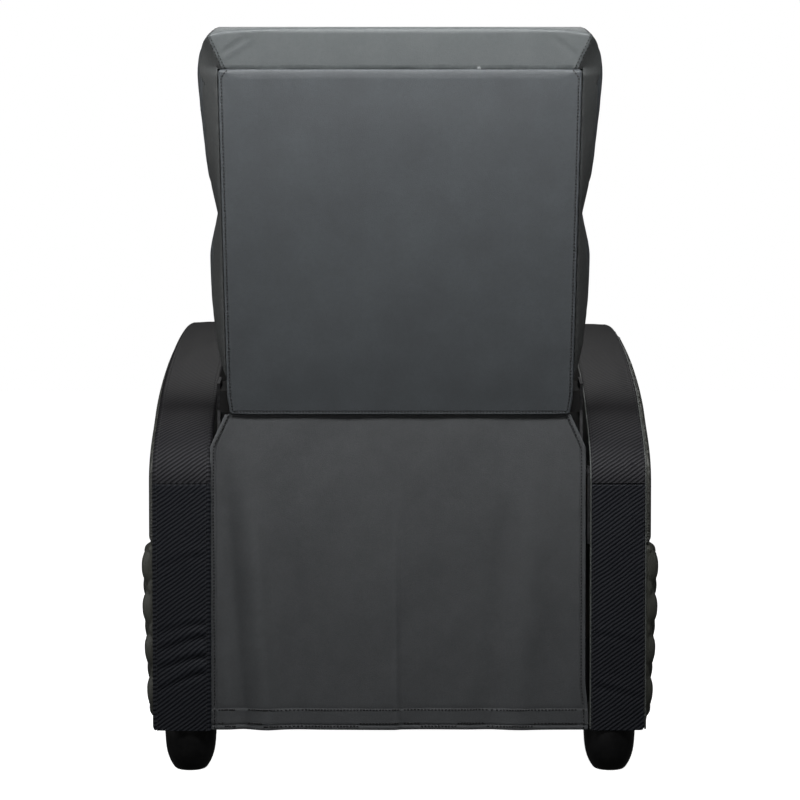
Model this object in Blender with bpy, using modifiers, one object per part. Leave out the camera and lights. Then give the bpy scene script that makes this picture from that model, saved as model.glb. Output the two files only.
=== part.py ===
"""Gaming recliner: a push-back armchair with a folding footrest, modelled as separate pieces.

Metres, +Z up. The chair faces -Y, its left arm is at +X, and the floor is z = 0.
Every moving group hangs from an empty on its joint's axis.
"""

import math

import bmesh
import bpy
from mathutils import Vector

# Driving dimensions of the whole chair
ARM_SPAN = 0.674  # over the two arms' rear strips
ARM_THICKNESS = 0.0745
REAR_Y = 0.2909  # plane of the arms' rear faces
ARM_DEPTH = 0.680
LEG_HEIGHT = 0.059  # underside of the body over the floor
SEAM_Z = 0.493  # bottom seam of the back's rear panel
BACK_HEIGHT = 0.519  # seam to the top, along the back
BACK_LEAN = math.radians(12)
GAP = 0.0003  # between pieces that touch
WELD_DISTANCE = 0.000001
TURN_MERGE = 0.0001
INNER_X = ARM_SPAN / 2 - ARM_THICKNESS
FRONT_Y = REAR_Y - ARM_DEPTH
SIDES = (("left", 1), ("right", -1))

# Arm profile, going from the rear seam over the top to the front
STRIP_THICKNESS = 0.006
STRIP_SEAM_Z = 0.398
SHOULDER_RUN = 0.090  # forward of the rear face
SHOULDER_Z = 0.500
CREST_SETBACK = 0.080  # behind the arm's front face
CREST_RUN = ARM_DEPTH - CREST_SETBACK
CREST_Z = 0.620
BROW_Z = 0.548  # where the front face becomes upright
SHOULDER_PULL = 0.055
SHOULDER_SLOPE_RUN = 0.060
SHOULDER_SLOPE_RISE = 0.050
CREST_PULL = 0.200
BROW_PULL = 0.048
PROFILE_STEPS = (6, 8, 6)
STRIP_EDGE = 0.002

# Arm pieces
BOARD_THICKNESS = 0.018
INNER_PAD_THICKNESS = 0.027
PAD_EDGE = 0.004
OUTER_PAD_PROUD = 0.0075  # outer pad's face beyond the strip's edge
OUTER_PAD_EDGE = 0.009
QUILT_TOP_Z = 0.317
QUILT_PROUD = 0.0155
QUILT_PUFF = 0.005
QUILT_ROWS = 8
QUILT_COLUMNS = 18
QUILT_EDGE_ROUND = 0.030
QUILT_FOOT_CLEARANCE = 0.006

# Feet
FOOT_TOP_RADIUS = 0.036
FOOT_BOTTOM_RADIUS = 0.0185
FOOT_BULGE_RADIUS = 0.034
FOOT_BULGE_Z = 0.034
FOOT_SIDE_RUN = 0.046  # foot centre in from the strips' outer edge
FOOT_X = ARM_SPAN / 2 - FOOT_SIDE_RUN
FOOT_INSET = 0.036  # foot centre from the arm's end
FOOT_STEPS = 24

# Heights that the seat, the footrest and the plates share
SEAT_FRAME_DROP = 0.1204  # seat frame's underside below the back's bottom seam
SEAT_FRAME_BOTTOM_Z = SEAM_Z - SEAT_FRAME_DROP
SCISSOR_DROP = 0.0226
SCISSOR_Z = SEAT_FRAME_BOTTOM_Z - SCISSOR_DROP
GUIDE_PIN_RISE = 0.0276  # lowest pin over the body's underside
GUIDE_PIN_Z = LEG_HEIGHT + GUIDE_PIN_RISE
SCISSOR_SETBACK = 0.180  # behind the arm's front face
SCISSOR_RUN = ARM_DEPTH - SCISSOR_SETBACK
SCISSOR_Y = REAR_Y - SCISSOR_RUN

# Base rails and steel side plates
RAIL_THICKNESS = 0.020
RAIL_RISE = 0.031  # over the body's underside
RAIL_BOTTOM_Z = LEG_HEIGHT + RAIL_RISE
RAIL_HEIGHT = 0.090
REAR_RAIL_RUN = 0.055  # runs go forward from the arms' rear faces
FRONT_RAIL_SETBACK = 0.060  # behind the scissor's pins
FRONT_RAIL_RUN = SCISSOR_RUN - FRONT_RAIL_SETBACK
STEEL = 0.004
LAYER_GAP = 0.001
LAYER_PITCH = STEEL + LAYER_GAP
PLATE_OUTER_X = INNER_X - GAP
PLATE_TOP_RISE = 0.0124
PLATE_TOP_Z = SEAT_FRAME_BOTTOM_Z + PLATE_TOP_RISE
PLATE_BEAM_DEPTH = 0.070
PLATE_LEG_WIDTH = 0.050
PLATE_FOOT_DROP = 0.0166  # below the lowest pin
PLATE_FOOT_Z = GUIDE_PIN_Z - PLATE_FOOT_DROP
PLATE_EAR_WIDTH = 0.036
PIN_RADIUS = 0.004
PIN_CLEARANCE = 0.0005
PIN_SIDES = 16

# Back hinge, seat glide and flap
HINGE_RUN = 0.030
HINGE_Y = REAR_Y - HINGE_RUN
HINGE_DROP = 0.080
HINGE_Z = SEAM_Z - HINGE_DROP
SEAT_TRAVEL = 0.040
FLAP_RUN = 0.007
FLAP_HINGE_CLEARANCE = 0.0028  # below the rear panel's lower edge
FLAP_TOP_RISE = 0.002  # flap's top edge over its own hinge
FLAP_HINGE_Y = REAR_Y - FLAP_RUN
PANEL_EDGE_Z = SEAM_Z + FLAP_RUN * math.tan(BACK_LEAN)
FLAP_HINGE_Z = PANEL_EDGE_Z - FLAP_HINGE_CLEARANCE / math.cos(BACK_LEAN)

# Seat
SEAT_FRONT_SETBACK = 0.025
SEAT_FRONT_RUN = ARM_DEPTH - SEAT_FRONT_SETBACK
SEAT_REAR_RUN = 0.125
SEAT_FRONT_Y = REAR_Y - SEAT_FRONT_RUN
SEAT_REAR_Y = REAR_Y - SEAT_REAR_RUN
SEAT_SIDE_CLEARANCE = 0.0055
SEAT_WIDTH = 2 * (INNER_X - SEAT_SIDE_CLEARANCE)
SEAT_FRAME_CLEARANCE = 0.0325
SEAT_FRAME_WIDTH = 2 * (INNER_X - SEAT_FRAME_CLEARANCE)
SEAT_FRAME_FRONT_SETBACK = 0.030  # frame inside the cushion's front
SEAT_FRAME_REAR_SETBACK = 0.040
SEAT_FRAME_FRONT_Y = SEAT_FRONT_Y + SEAT_FRAME_FRONT_SETBACK
SEAT_FRAME_REAR_Y = SEAT_REAR_Y - SEAT_FRAME_REAR_SETBACK
SEAT_FRONT_RAIL_INSET = 0.003
SEAT_FRONT_RAIL_WIDTH = SEAT_WIDTH - 2 * SEAT_FRONT_RAIL_INSET
SEAT_RAIL_WIDTH = 0.025
SEAT_FRAME_HEIGHT = 0.025
SEAT_CUSHION_HEIGHT = 0.078
SEAT_CROWN = 0.012
SEAT_TOP_Z = SEAT_FRAME_BOTTOM_Z + SEAT_FRAME_HEIGHT + GAP + SEAT_CUSHION_HEIGHT
RUNNER_THICKNESS = 0.003
RUNNER_WIDTH = 0.028
RUNNER_REACH = 0.0505  # inner edge from the arm's inner face
RUNNER_INNER_X = INNER_X - RUNNER_REACH
RUNNER_LENGTH = 0.320
RUNNER_SETBACK = 0.015
RUNNER_REAR_Y = SEAT_FRAME_REAR_Y - RUNNER_SETBACK
GUIDE_REACH = 0.0405
GUIDE_INNER_X = INNER_X - GUIDE_REACH
GUIDE_OVERRUN = 0.015  # past the runner at each end of its travel
GUIDE_LENGTH = RUNNER_LENGTH + SEAT_TRAVEL + 2 * GUIDE_OVERRUN
GUIDE_REAR_RUN = 0.080
GUIDE_FRONT_Y = REAR_Y - GUIDE_REAR_RUN - GUIDE_LENGTH
SPRING_WIRE = 0.0018
SPRING_LOOPS = 5
SPRING_WIDTH = 0.044
SEAT_SPRING_SHARE = 0.634  # of the frame's inner half width
SEAT_SPRING_PITCH = SEAT_SPRING_SHARE * (SEAT_FRAME_WIDTH / 2 - SEAT_RAIL_WIDTH)

# Footrest scissor
BAR_RADIUS = 0.0125
BAR_ANGLE = math.radians(74)  # below level at rest
BAR_TURN = math.radians(58)
BAR_LENGTH = (SCISSOR_Z - GUIDE_PIN_Z) / math.sin(BAR_ANGLE)
TILT_PIVOT_SHARE = 0.6883  # along the lower link from its upper pivot
TILT_PIVOT_REACH = TILT_PIVOT_SHARE * BAR_LENGTH
BRACKET_PIVOT_AHEAD = 0.0044
BRACKET_PIVOT_DROP = 0.045
TILT_RADIUS = 0.010
OPEN_PIVOT_RADIUS = 0.0090
OPEN_PIN_RADIUS = 0.0035
TUBE_RADIUS = 0.009
LOWER_TUBE_SETBACK = 0.034
LOWER_TUBE_REACH = BAR_LENGTH - LOWER_TUBE_SETBACK
UPPER_TUBE_REACH = 0.050
TUBE_STEPS = 16

# Footrest board and pad
BOARD_SETBACK = 0.0245  # footrest hinge to the board's rear face
BOARD_DEPTH = 0.015
BOARD_SIDE_CLEARANCE = 0.0225
BOARD_WIDTH = 2 * (INNER_X - BOARD_SIDE_CLEARANCE)
BOARD_TOP_DROP = 0.004
BOARD_TOP_Z = SCISSOR_Z - BOARD_TOP_DROP
FOOT_PAD_SIDE_CLEARANCE = 0.0075
FOOT_PAD_WIDTH = 2 * (INNER_X - FOOT_PAD_SIDE_CLEARANCE)
FOOT_PAD_DEPTH = 0.042
FOOT_PAD_RISE = 0.021
FOOT_PAD_BOTTOM_Z = LEG_HEIGHT + FOOT_PAD_RISE
FOOT_PAD_TOP_RISE = 0.008
FOOT_PAD_TOP_Z = SCISSOR_Z + FOOT_PAD_TOP_RISE
BOARD_INSET = 0.020
BOARD_BOTTOM_Z = FOOT_PAD_BOTTOM_Z + BOARD_INSET
FOOT_PAD_CROWN = 0.008
BRACKET_EDGE = 0.013
BRACKET_TOP_EDGE = 0.010
BRACKET_LENGTH = 0.085
BRACKET_FOOT_Z = SCISSOR_Z - BRACKET_LENGTH

# Back, measured from the bottom seam: depth forward of the rear panel, height along the back
REAR_PANEL_THICKNESS = 0.018
BACK_OVERHANG = 0.0195  # widest place of the back past the arm's inner face
BACK_HALF_WIDTH = INNER_X + BACK_OVERHANG
REAR_PANEL_TOP_INSET = 0.041
REAR_PANEL_BOTTOM_INSET = 0.0455
REAR_PANEL_TOP_WIDTH = 2 * (BACK_HALF_WIDTH - REAR_PANEL_TOP_INSET)
REAR_PANEL_BOTTOM_WIDTH = 2 * (BACK_HALF_WIDTH - REAR_PANEL_BOTTOM_INSET)
TOP_BAND_HEIGHT = 0.049
REAR_PANEL_HEIGHT = BACK_HEIGHT - TOP_BAND_HEIGHT
REAR_PANEL_CORNER = 0.012
REAR_PANEL_EDGE = 0.005
SHELL_DEPTH = 0.0755
CUSHION_FRONT_DEPTH = 0.172
BAND_BOTTOM = 0.035
TOP_BAND_BOTTOM = REAR_PANEL_HEIGHT + GAP
TOP_BAND_REAR = 0.003
PINCH_SHARE = 0.526
PINCH_HEIGHT = PINCH_SHARE * BACK_HEIGHT
HEAD_CROWN = 0.022
LUMBAR_CROWN = 0.020
LUMBAR_CLEARANCE = 0.0028  # over the seat cushion's rear edge
LUMBAR_EDGE_Z = SEAT_TOP_Z + LUMBAR_CLEARANCE
LUMBAR_DROP = SEAM_Z + SEAT_REAR_RUN * math.tan(BACK_LEAN) - LUMBAR_EDGE_Z
LUMBAR_BOTTOM = -LUMBAR_DROP * math.cos(BACK_LEAN)
CUSHION_DRAW = 0.008
# height share of the back, half width share of its widest place
BACK_WIDTH_SHARES = (
    (-0.10, 0.877),
    (0.08, 0.877),
    (0.17, 0.923),
    (0.26, 0.944),
    (0.40, 0.950),
    (PINCH_SHARE, 0.893),
    (0.60, 0.948),
    (0.74, 0.971),
    (0.87, 0.994),
    (0.93, 0.985),
    (1.00, 0.930),
)
FRAME_POST_INSET = 0.0515
FRAME_POST_X = REAR_PANEL_BOTTOM_WIDTH / 2 - FRAME_POST_INSET
FRAME_POST_WIDTH = 0.030
FRAME_REAR = REAR_PANEL_THICKNESS + GAP
FRAME_FRONT = SHELL_DEPTH - GAP
FRAME_TOP = TOP_BAND_BOTTOM - GAP
BAND_INNER_X = FRAME_POST_X + FRAME_POST_WIDTH / 2 + GAP
FRAME_RAIL_HEIGHT = 0.030
BACK_SPRING_SHARE = 0.383
BACK_SPRING_PITCH = BACK_SPRING_SHARE * FRAME_TOP
BRACKET_TOP = 0.038
BRACKET_HALF_WIDTH = 0.020

# Rear flap
FLAP_SIDE_CLEARANCE = 0.005
FLAP_WIDTH = 2 * (INNER_X - FLAP_SIDE_CLEARANCE)
FLAP_OFFSET = 0.003  # it hangs a little to the left
FLAP_TOP_WIDTH = REAR_PANEL_BOTTOM_WIDTH
FLAP_SHOULDER_DROP = 0.045
FLAP_THICKNESS = 0.003
FLAP_FOLD_DEPTH = 0.004
FLAP_COLUMNS = 20
FLAP_ROWS = 10
# place across the half width, width share, depth share of each fold
FLAP_FOLD_SHARES = ((-0.90, 0.08, 1.0), (-0.72, 0.06, -0.6), (0.15, 0.25, 0.5), (0.86, 0.10, 0.8))


def clear_scene():
    for obj in list(bpy.data.objects):
        bpy.data.objects.remove(obj, do_unlink=True)


def collection(name):
    made = bpy.data.collections.new(name)
    bpy.context.scene.collection.children.link(made)
    return made


def material(name, color, roughness, metallic=0.0):
    made = bpy.data.materials.new(name)
    made.use_nodes = True
    shader = made.node_tree.nodes["Principled BSDF"]
    shader.inputs["Base Color"].default_value = (*color, 1.0)
    shader.inputs["Roughness"].default_value = roughness
    shader.inputs["Metallic"].default_value = metallic
    made.diffuse_color = (*color, 1.0)
    return made


clear_scene()
PARTS = collection("gaming_recliner")
CUTTERS = collection("joined_pins")

LEATHER = material("grey_leather", (0.085, 0.090, 0.092), 0.55)
SIDE_LEATHER = material("side_leather", (0.060, 0.062, 0.056), 0.60)
WEAVE = material("woven_strip", (0.022, 0.024, 0.030), 0.45)
PLASTIC = material("black_plastic", (0.010, 0.010, 0.011), 0.35)
WOOD = material("plywood", (0.50, 0.36, 0.22), 0.70)
METAL = material("black_steel", (0.030, 0.030, 0.032), 0.40, 0.8)
SPRING_STEEL = material("spring_steel", (0.25, 0.25, 0.26), 0.35, 1.0)


def pivot(name, location, parent=None):
    """An empty on a joint's axis, given in world coordinates."""
    empty = bpy.data.objects.new(name, None)
    empty.location = location
    PARTS.objects.link(empty)
    hang(empty, parent)
    return empty


def hang(obj, parent):
    """Parents without moving."""
    if parent is None:
        return
    bpy.context.view_layer.update()
    obj.parent = parent
    obj.matrix_parent_inverse = parent.matrix_world.inverted()


def add(name, data, mat, location=(0, 0, 0), rotation=(0, 0, 0), parent=None, inside=False):
    """Links an object. With inside, its location is in the parent's own axes."""
    obj = bpy.data.objects.new(name, data)
    data.materials.append(mat)
    obj.location = location
    obj.rotation_euler = rotation
    PARTS.objects.link(obj)
    if inside:
        obj.parent = parent
    else:
        hang(obj, parent)
    return obj


def bevel(obj, width, segments=2):
    modifier = obj.modifiers.new("edge", "BEVEL")
    modifier.width = width
    modifier.segments = segments
    modifier.limit_method = "ANGLE"
    return modifier


def smooth(obj, angle=math.radians(35)):
    obj.data.shade_smooth()
    obj.data.set_sharp_from_angle(angle=angle)


def box(name, low, high, mat, parent=None, inside=False, edge=0.0):
    """A block between two corners."""
    low, high = Vector(low), Vector(high)
    bm = bmesh.new()
    bmesh.ops.create_cube(bm, size=1.0)
    bmesh.ops.scale(bm, verts=bm.verts, vec=high - low)
    mesh = bpy.data.meshes.new(name)
    bm.to_mesh(mesh)
    bm.free()
    obj = add(name, mesh, mat, (low + high) / 2, (0, 0, 0), parent, inside)
    if edge:
        bevel(obj, edge)
    return obj


def span(side, near, far):
    """The two x values of a piece on one side of the chair, lower first."""
    return sorted((side * near, side * far))


def circle(centre, radius, sides=PIN_SIDES):
    step = math.tau / sides
    return [
        (centre[0] + radius * math.cos(i * step), centre[1] + radius * math.sin(i * step))
        for i in range(sides)
    ]


def capsule(start, end, radius, sides=PIN_SIDES):
    """Outline of a straight bar with round ends, from start to end."""
    heading = math.atan2(end[1] - start[1], end[0] - start[0])
    half = sides // 2
    points = []
    for centre, turn in ((end, -math.pi / 2), (start, math.pi / 2)):
        for i in range(half + 1):
            angle = heading + turn + math.pi * i / half
            points.append((centre[0] + radius * math.cos(angle), centre[1] + radius * math.sin(angle)))
    return points


def flat_curve(name, outline, holes, thickness):
    """A filled 2D outline, thickness across."""
    curve = bpy.data.curves.new(name, "CURVE")
    curve.dimensions = "2D"
    curve.fill_mode = "BOTH"
    curve.extrude = thickness / 2
    for points in (outline, *holes):
        spline = curve.splines.new("POLY")
        spline.points.add(len(points) - 1)
        for point, (u, v) in zip(spline.points, points):
            point.co = (u, v, 0, 1)
        spline.use_cyclic_u = True
    return curve


def as_mesh(obj):
    """Replaces a curve object by its welded mesh, under the same name."""
    bpy.context.view_layer.update()
    name, mat, parent, place = obj.name, obj.data.materials[0], obj.parent, obj.matrix_world.copy()
    mesh = bpy.data.meshes.new_from_object(obj.evaluated_get(bpy.context.evaluated_depsgraph_get()))
    bpy.data.objects.remove(obj, do_unlink=True)
    bm = bmesh.new()
    bm.from_mesh(mesh)
    bmesh.ops.remove_doubles(bm, verts=bm.verts, dist=WELD_DISTANCE)
    bm.to_mesh(mesh)
    bm.free()
    mesh.materials.clear()
    made = add(name, mesh, mat)
    made.matrix_world = place
    hang(made, parent)
    return made


SIDE_VIEW = (math.pi / 2, 0, math.pi / 2)  # outline (u, v) lies along (Y, Z), thickness along X


def side_plate(name, outline, x, thickness, mat, pivot_at=(0, 0), holes=(), parent=None):
    """A plate in the Y-Z plane; the outline is in world (y, z), the origin on pivot_at."""

    def local(points):
        return [(y - pivot_at[0], z - pivot_at[1]) for y, z in points]

    curve = flat_curve(name, local(outline), [local(hole) for hole in holes], thickness)
    return add(name, curve, mat, (x, *pivot_at), SIDE_VIEW, parent)


def add_pin(plate, x_from, x_to, at, radius):
    """Joins a pin along X to a plate: the plate becomes a mesh first."""
    bm = bmesh.new()
    bmesh.ops.create_cone(
        bm,
        cap_ends=True,
        segments=PIN_SIDES,
        radius1=radius,
        radius2=radius,
        depth=abs(x_to - x_from),
    )
    mesh = bpy.data.meshes.new(plate.name + "_pin")
    bm.to_mesh(mesh)
    bm.free()
    pin = bpy.data.objects.new(plate.name + "_pin", mesh)
    CUTTERS.objects.link(pin)
    pin.rotation_euler = (0, math.pi / 2, 0)
    pin.location = ((x_from + x_to) / 2, *at)
    pin.hide_render = True
    pin.display_type = "WIRE"
    hang(pin, plate.parent)
    union = plate.modifiers.new("pin", "BOOLEAN")
    union.operation = "UNION"
    union.object = pin


def turned(name, profile, steps, mat, location):
    """A solid of revolution about Z; profile is (radius, z), top to bottom, from the axis to the axis."""
    bm = bmesh.new()
    verts = [bm.verts.new((radius, 0, z)) for radius, z in profile]
    for a, b in zip(verts, verts[1:]):
        bm.edges.new((a, b))
    mesh = bpy.data.meshes.new(name)
    bm.to_mesh(mesh)
    bm.free()
    obj = add(name, mesh, mat, location)
    screw = obj.modifiers.new("turn", "SCREW")
    screw.steps = steps
    screw.render_steps = steps
    screw.use_merge_vertices = True
    screw.merge_threshold = TURN_MERGE
    return obj


def grid_cube(cells):
    """A cube of side 2 whose faces are split into cells along x, y and z."""
    bm = bmesh.new()
    bmesh.ops.create_cube(bm, size=2.0)
    for axis, count in enumerate(cells):
        if count < 2:
            continue
        along = [
            e for e in bm.edges if abs((e.verts[0].co - e.verts[1].co).normalized()[axis]) > 0.9
        ]
        bmesh.ops.subdivide_edges(bm, edges=along, cuts=count - 1, use_grid_fill=True)
    return bm


def soft(name, cells, shape, mat, location=(0, 0, 0), parent=None, inside=False, levels=1):
    """A soft form: a unit cage bent by shape(a, b, c), each from -1 to 1, then smoothed."""
    bm = grid_cube(cells)
    for vert in bm.verts:
        vert.co = shape(*vert.co)
    mesh = bpy.data.meshes.new(name)
    bm.to_mesh(mesh)
    bm.free()
    obj = add(name, mesh, mat, location, (0, 0, 0), parent, inside)
    if levels:
        subsurf = obj.modifiers.new("soften", "SUBSURF")
        subsurf.levels = levels
        subsurf.render_levels = levels
    mesh.shade_smooth()
    return obj


def bezier(p0, p1, p2, p3, steps):
    """Points after p0 up to p3, each with its left-hand normal."""
    found = []
    for i in range(1, steps + 1):
        t = i / steps
        s = 1 - t
        point = s**3 * p0 + 3 * s * s * t * p1 + 3 * s * t * t * p2 + t**3 * p3
        slope = 3 * s * s * (p1 - p0) + 6 * s * t * (p2 - p1) + 3 * t * t * (p3 - p2)
        found.append((point, Vector((-slope.y, slope.x)).normalized()))
    return found


def arm_profile(inset, from_z=LEG_HEIGHT):
    """The arm's outline in (y, z), rear foot to front foot over the top, drawn in by inset."""
    seam = Vector((REAR_Y, STRIP_SEAM_Z))
    shoulder = Vector((REAR_Y - SHOULDER_RUN, SHOULDER_Z))
    crest = Vector((REAR_Y - CREST_RUN, CREST_Z))
    brow = Vector((FRONT_Y, BROW_Z))
    slope = Vector((-SHOULDER_SLOPE_RUN, SHOULDER_SLOPE_RISE))
    runs = (
        (seam, seam + Vector((0, SHOULDER_PULL)), shoulder - slope / 2, shoulder),
        (shoulder, shoulder + slope, crest + Vector((CREST_PULL, 0)), crest),
        (crest, crest - Vector((BROW_PULL, 0)), brow + Vector((0, BROW_PULL)), brow),
    )
    into = Vector((-1, 0))
    path = [(Vector((REAR_Y, from_z)), into), (seam, into)]
    for run, steps in zip(runs, PROFILE_STEPS):
        path += bezier(*run, steps)
    path.append((Vector((FRONT_Y, LEG_HEIGHT)), Vector((1, 0))))
    return [tuple(point + normal * inset) for point, normal in path]


def build_arm(side_name, side):
    """Plywood board, leather pads each side of it, and the woven strip round the edge."""
    core = arm_profile(STRIP_THICKNESS + GAP)
    pad_x = INNER_X + INNER_PAD_THICKNESS / 2
    board_inner = INNER_X + INNER_PAD_THICKNESS + GAP
    board_outer = board_inner + BOARD_THICKNESS
    side_plate(
        f"{side_name}_arm_board", core, side * (board_inner + BOARD_THICKNESS / 2), BOARD_THICKNESS, WOOD
    )
    inner = side_plate(f"{side_name}_arm_inner_pad", core, side * pad_x, INNER_PAD_THICKNESS, SIDE_LEATHER)
    inner = as_mesh(inner)
    bevel(inner, PAD_EDGE)
    # the outer pad stops on the quilted panel's top
    above = [(y, max(z, QUILT_TOP_Z + GAP)) for y, z in core]
    outer_face = ARM_SPAN / 2 + OUTER_PAD_PROUD
    outer_inner = board_outer + GAP
    outer = side_plate(
        f"{side_name}_arm_outer_pad",
        above,
        side * (outer_inner + outer_face) / 2,
        outer_face - outer_inner,
        SIDE_LEATHER,
    )
    outer = as_mesh(outer)
    bevel(outer, OUTER_PAD_EDGE, 3)
    build_quilt(side_name, side, outer_inner)
    build_strips(side_name, side)
    for place, y in (("rear", REAR_Y - FOOT_INSET), ("front", FRONT_Y + FOOT_INSET)):
        build_foot(f"{place}_{side_name}_foot", side * FOOT_X, y)


def build_strips(side_name, side):
    """The woven strip in two pieces that meet at the level seam."""
    centre = side * (INNER_X + ARM_THICKNESS / 2)
    top = STRIP_SEAM_Z - GAP
    lower = [
        (REAR_Y, LEG_HEIGHT),
        (REAR_Y, top),
        (REAR_Y - STRIP_THICKNESS, top),
        (REAR_Y - STRIP_THICKNESS, LEG_HEIGHT),
    ]
    strip = side_plate(f"{side_name}_rear_strip", lower, centre, ARM_THICKNESS, WEAVE)
    bevel(as_mesh(strip), STRIP_EDGE)
    outside = arm_profile(0, STRIP_SEAM_Z)[1:]
    inside = arm_profile(STRIP_THICKNESS, STRIP_SEAM_Z)[1:]
    strip = side_plate(f"{side_name}_top_strip", outside + inside[::-1], centre, ARM_THICKNESS, WEAVE)
    bevel(as_mesh(strip), STRIP_EDGE)


def build_quilt(side_name, side, inner_face):
    """Diamond-quilted panel: crossing channels between raised diamonds."""
    low = LEG_HEIGHT + QUILT_FOOT_CLEARANCE
    rear = REAR_Y - STRIP_THICKNESS - GAP
    front = FRONT_Y + STRIP_THICKNESS + GAP
    centre = Vector((inner_face, (rear + front) / 2, (low + QUILT_TOP_Z) / 2))
    half_length = (rear - front) / 2
    half_height = (QUILT_TOP_Z - low) / 2
    thickness = ARM_SPAN / 2 + QUILT_PROUD - inner_face
    mesh_name = f"{side_name}_side_quilt"
    bm = grid_cube((1, QUILT_COLUMNS, QUILT_ROWS))
    low_verts = set()
    for vert in bm.verts:
        a, b, c = vert.co
        column = round((b + 1) / 2 * QUILT_COLUMNS)
        row = round((c + 1) / 2 * QUILT_ROWS)
        from_edge = min((1 - abs(b)) * half_length, (1 - abs(c)) * half_height)
        rise = 0
        if a > 0:
            rounding = max(0, 1 - from_edge / QUILT_EDGE_ROUND)
            rise = thickness - QUILT_PROUD * rounding**2
            if (column + row) % 2 and from_edge > 0:
                rise += QUILT_PUFF
            else:
                low_verts.add(vert)
        vert.co = (side * rise, b * half_length, c * half_height)
    faces = [f for f in bm.faces if abs(f.calc_center_median().x) > thickness / 2]
    for face in faces:
        low_pair = [v for v in face.verts if v in low_verts]
        if len(low_pair) == 2:
            bmesh.ops.connect_verts(bm, verts=low_pair)
    if side < 0:
        bmesh.ops.reverse_faces(bm, faces=bm.faces)
    back = [f for f in bm.faces if all(abs(v.co.x) < GAP for v in f.verts)]
    bmesh.ops.dissolve_faces(bm, faces=back)
    mesh = bpy.data.meshes.new(mesh_name)
    bm.to_mesh(mesh)
    bm.free()
    add(mesh_name, mesh, SIDE_LEATHER, (side * centre.x, centre.y, centre.z))


def build_foot(name, x, y):
    top = LEG_HEIGHT - GAP
    profile = (
        (0, top),
        (FOOT_TOP_RADIUS, top),
        (FOOT_BULGE_RADIUS, FOOT_BULGE_Z),
        ((FOOT_BULGE_RADIUS + FOOT_BOTTOM_RADIUS) / 2, FOOT_BULGE_Z / 3),
        (FOOT_BOTTOM_RADIUS, 0),
        (0, 0),
    )
    smooth(turned(name, profile, FOOT_STEPS, PLASTIC, (x, y, 0)))


def layer_x(layer):
    """Centre of the side plate (0) or of a linkage layer inside it (1 to 4)."""
    return PLATE_OUTER_X - STEEL / 2 - layer * LAYER_PITCH


def bar_point(origin, reach, angle):
    """A point at reach along a bar that points forward and down by angle."""
    return (origin[0] - reach * math.cos(angle), origin[1] - reach * math.sin(angle))


SCISSOR = (SCISSOR_Y, SCISSOR_Z)
CROSSING = bar_point(SCISSOR, BAR_LENGTH / 2, BAR_ANGLE)
LOWER_END = bar_point(SCISSOR, BAR_LENGTH, BAR_ANGLE)
GUIDE_PIN = (SCISSOR_Y, LOWER_END[1])
FOOTREST_HINGE = (LOWER_END[0], SCISSOR_Z)
TILT_PIVOT = bar_point(SCISSOR, TILT_PIVOT_REACH, BAR_ANGLE)
BRACKET_PIVOT = (FOOTREST_HINGE[0] - BRACKET_PIVOT_AHEAD, SCISSOR_Z - BRACKET_PIVOT_DROP)
HINGE = (HINGE_Y, HINGE_Z)


def build_side_plate(side_name, side):
    """Steel plate on the arm: holds the scissor, guides its lower pin and carries the back's hinge pin."""
    half_leg = PLATE_LEG_WIDTH / 2
    half_ear = PLATE_EAR_WIDTH / 2
    front = SCISSOR_Y - half_leg
    ear_rear = min(HINGE_Y + half_ear, REAR_Y - STRIP_THICKNESS)
    ear_front = HINGE_Y - half_ear
    beam_bottom = PLATE_TOP_Z - PLATE_BEAM_DEPTH
    outline = [
        (front, PLATE_FOOT_Z),
        (front, PLATE_TOP_Z),
        (ear_front, PLATE_TOP_Z),
        (ear_front, HINGE_Z),
        (HINGE_Y - half_ear / 2, HINGE_Z + half_ear / 2),
        (HINGE_Y + half_ear / 2, HINGE_Z + half_ear / 2),
        (ear_rear, HINGE_Z),
        (ear_rear, beam_bottom),
        (SCISSOR_Y + half_leg, beam_bottom),
        (SCISSOR_Y + half_leg, PLATE_FOOT_Z),
    ]
    open_angle = BAR_ANGLE - BAR_TURN
    slot_top = (SCISSOR_Y, SCISSOR_Z - BAR_LENGTH * math.sin(open_angle) + PIN_CLEARANCE)
    slot_bottom = (SCISSOR_Y, GUIDE_PIN[1] - PIN_CLEARANCE)
    slot = capsule(slot_bottom, slot_top, PIN_RADIUS + PIN_CLEARANCE)
    x = side * layer_x(0)
    plate = as_mesh(
        side_plate(f"{side_name}_side_plate", outline, x, STEEL, METAL, (0, 0), [slot])
    )
    pin_end = side * (layer_x(2) - STEEL / 2)
    add_pin(plate, x, pin_end, SCISSOR, PIN_RADIUS)
    add_pin(plate, x, pin_end, HINGE, PIN_RADIUS)


def build_base():
    for side_name, side in SIDES:
        build_arm(side_name, side)
        build_side_plate(side_name, side)
        build_seat_guide(side_name, side)
    half = INNER_X - GAP
    top = RAIL_BOTTOM_Z + RAIL_HEIGHT
    rear_y = REAR_Y - REAR_RAIL_RUN
    front_y = REAR_Y - FRONT_RAIL_RUN
    box(
        "rear_cross_rail",
        (-half, rear_y - RAIL_THICKNESS / 2, RAIL_BOTTOM_Z),
        (half, rear_y + RAIL_THICKNESS / 2, top),
        WOOD,
    )
    box(
        "front_cross_rail",
        (-half, front_y - RAIL_THICKNESS / 2, RAIL_BOTTOM_Z),
        (half, front_y + RAIL_THICKNESS / 2, top),
        WOOD,
    )


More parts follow.
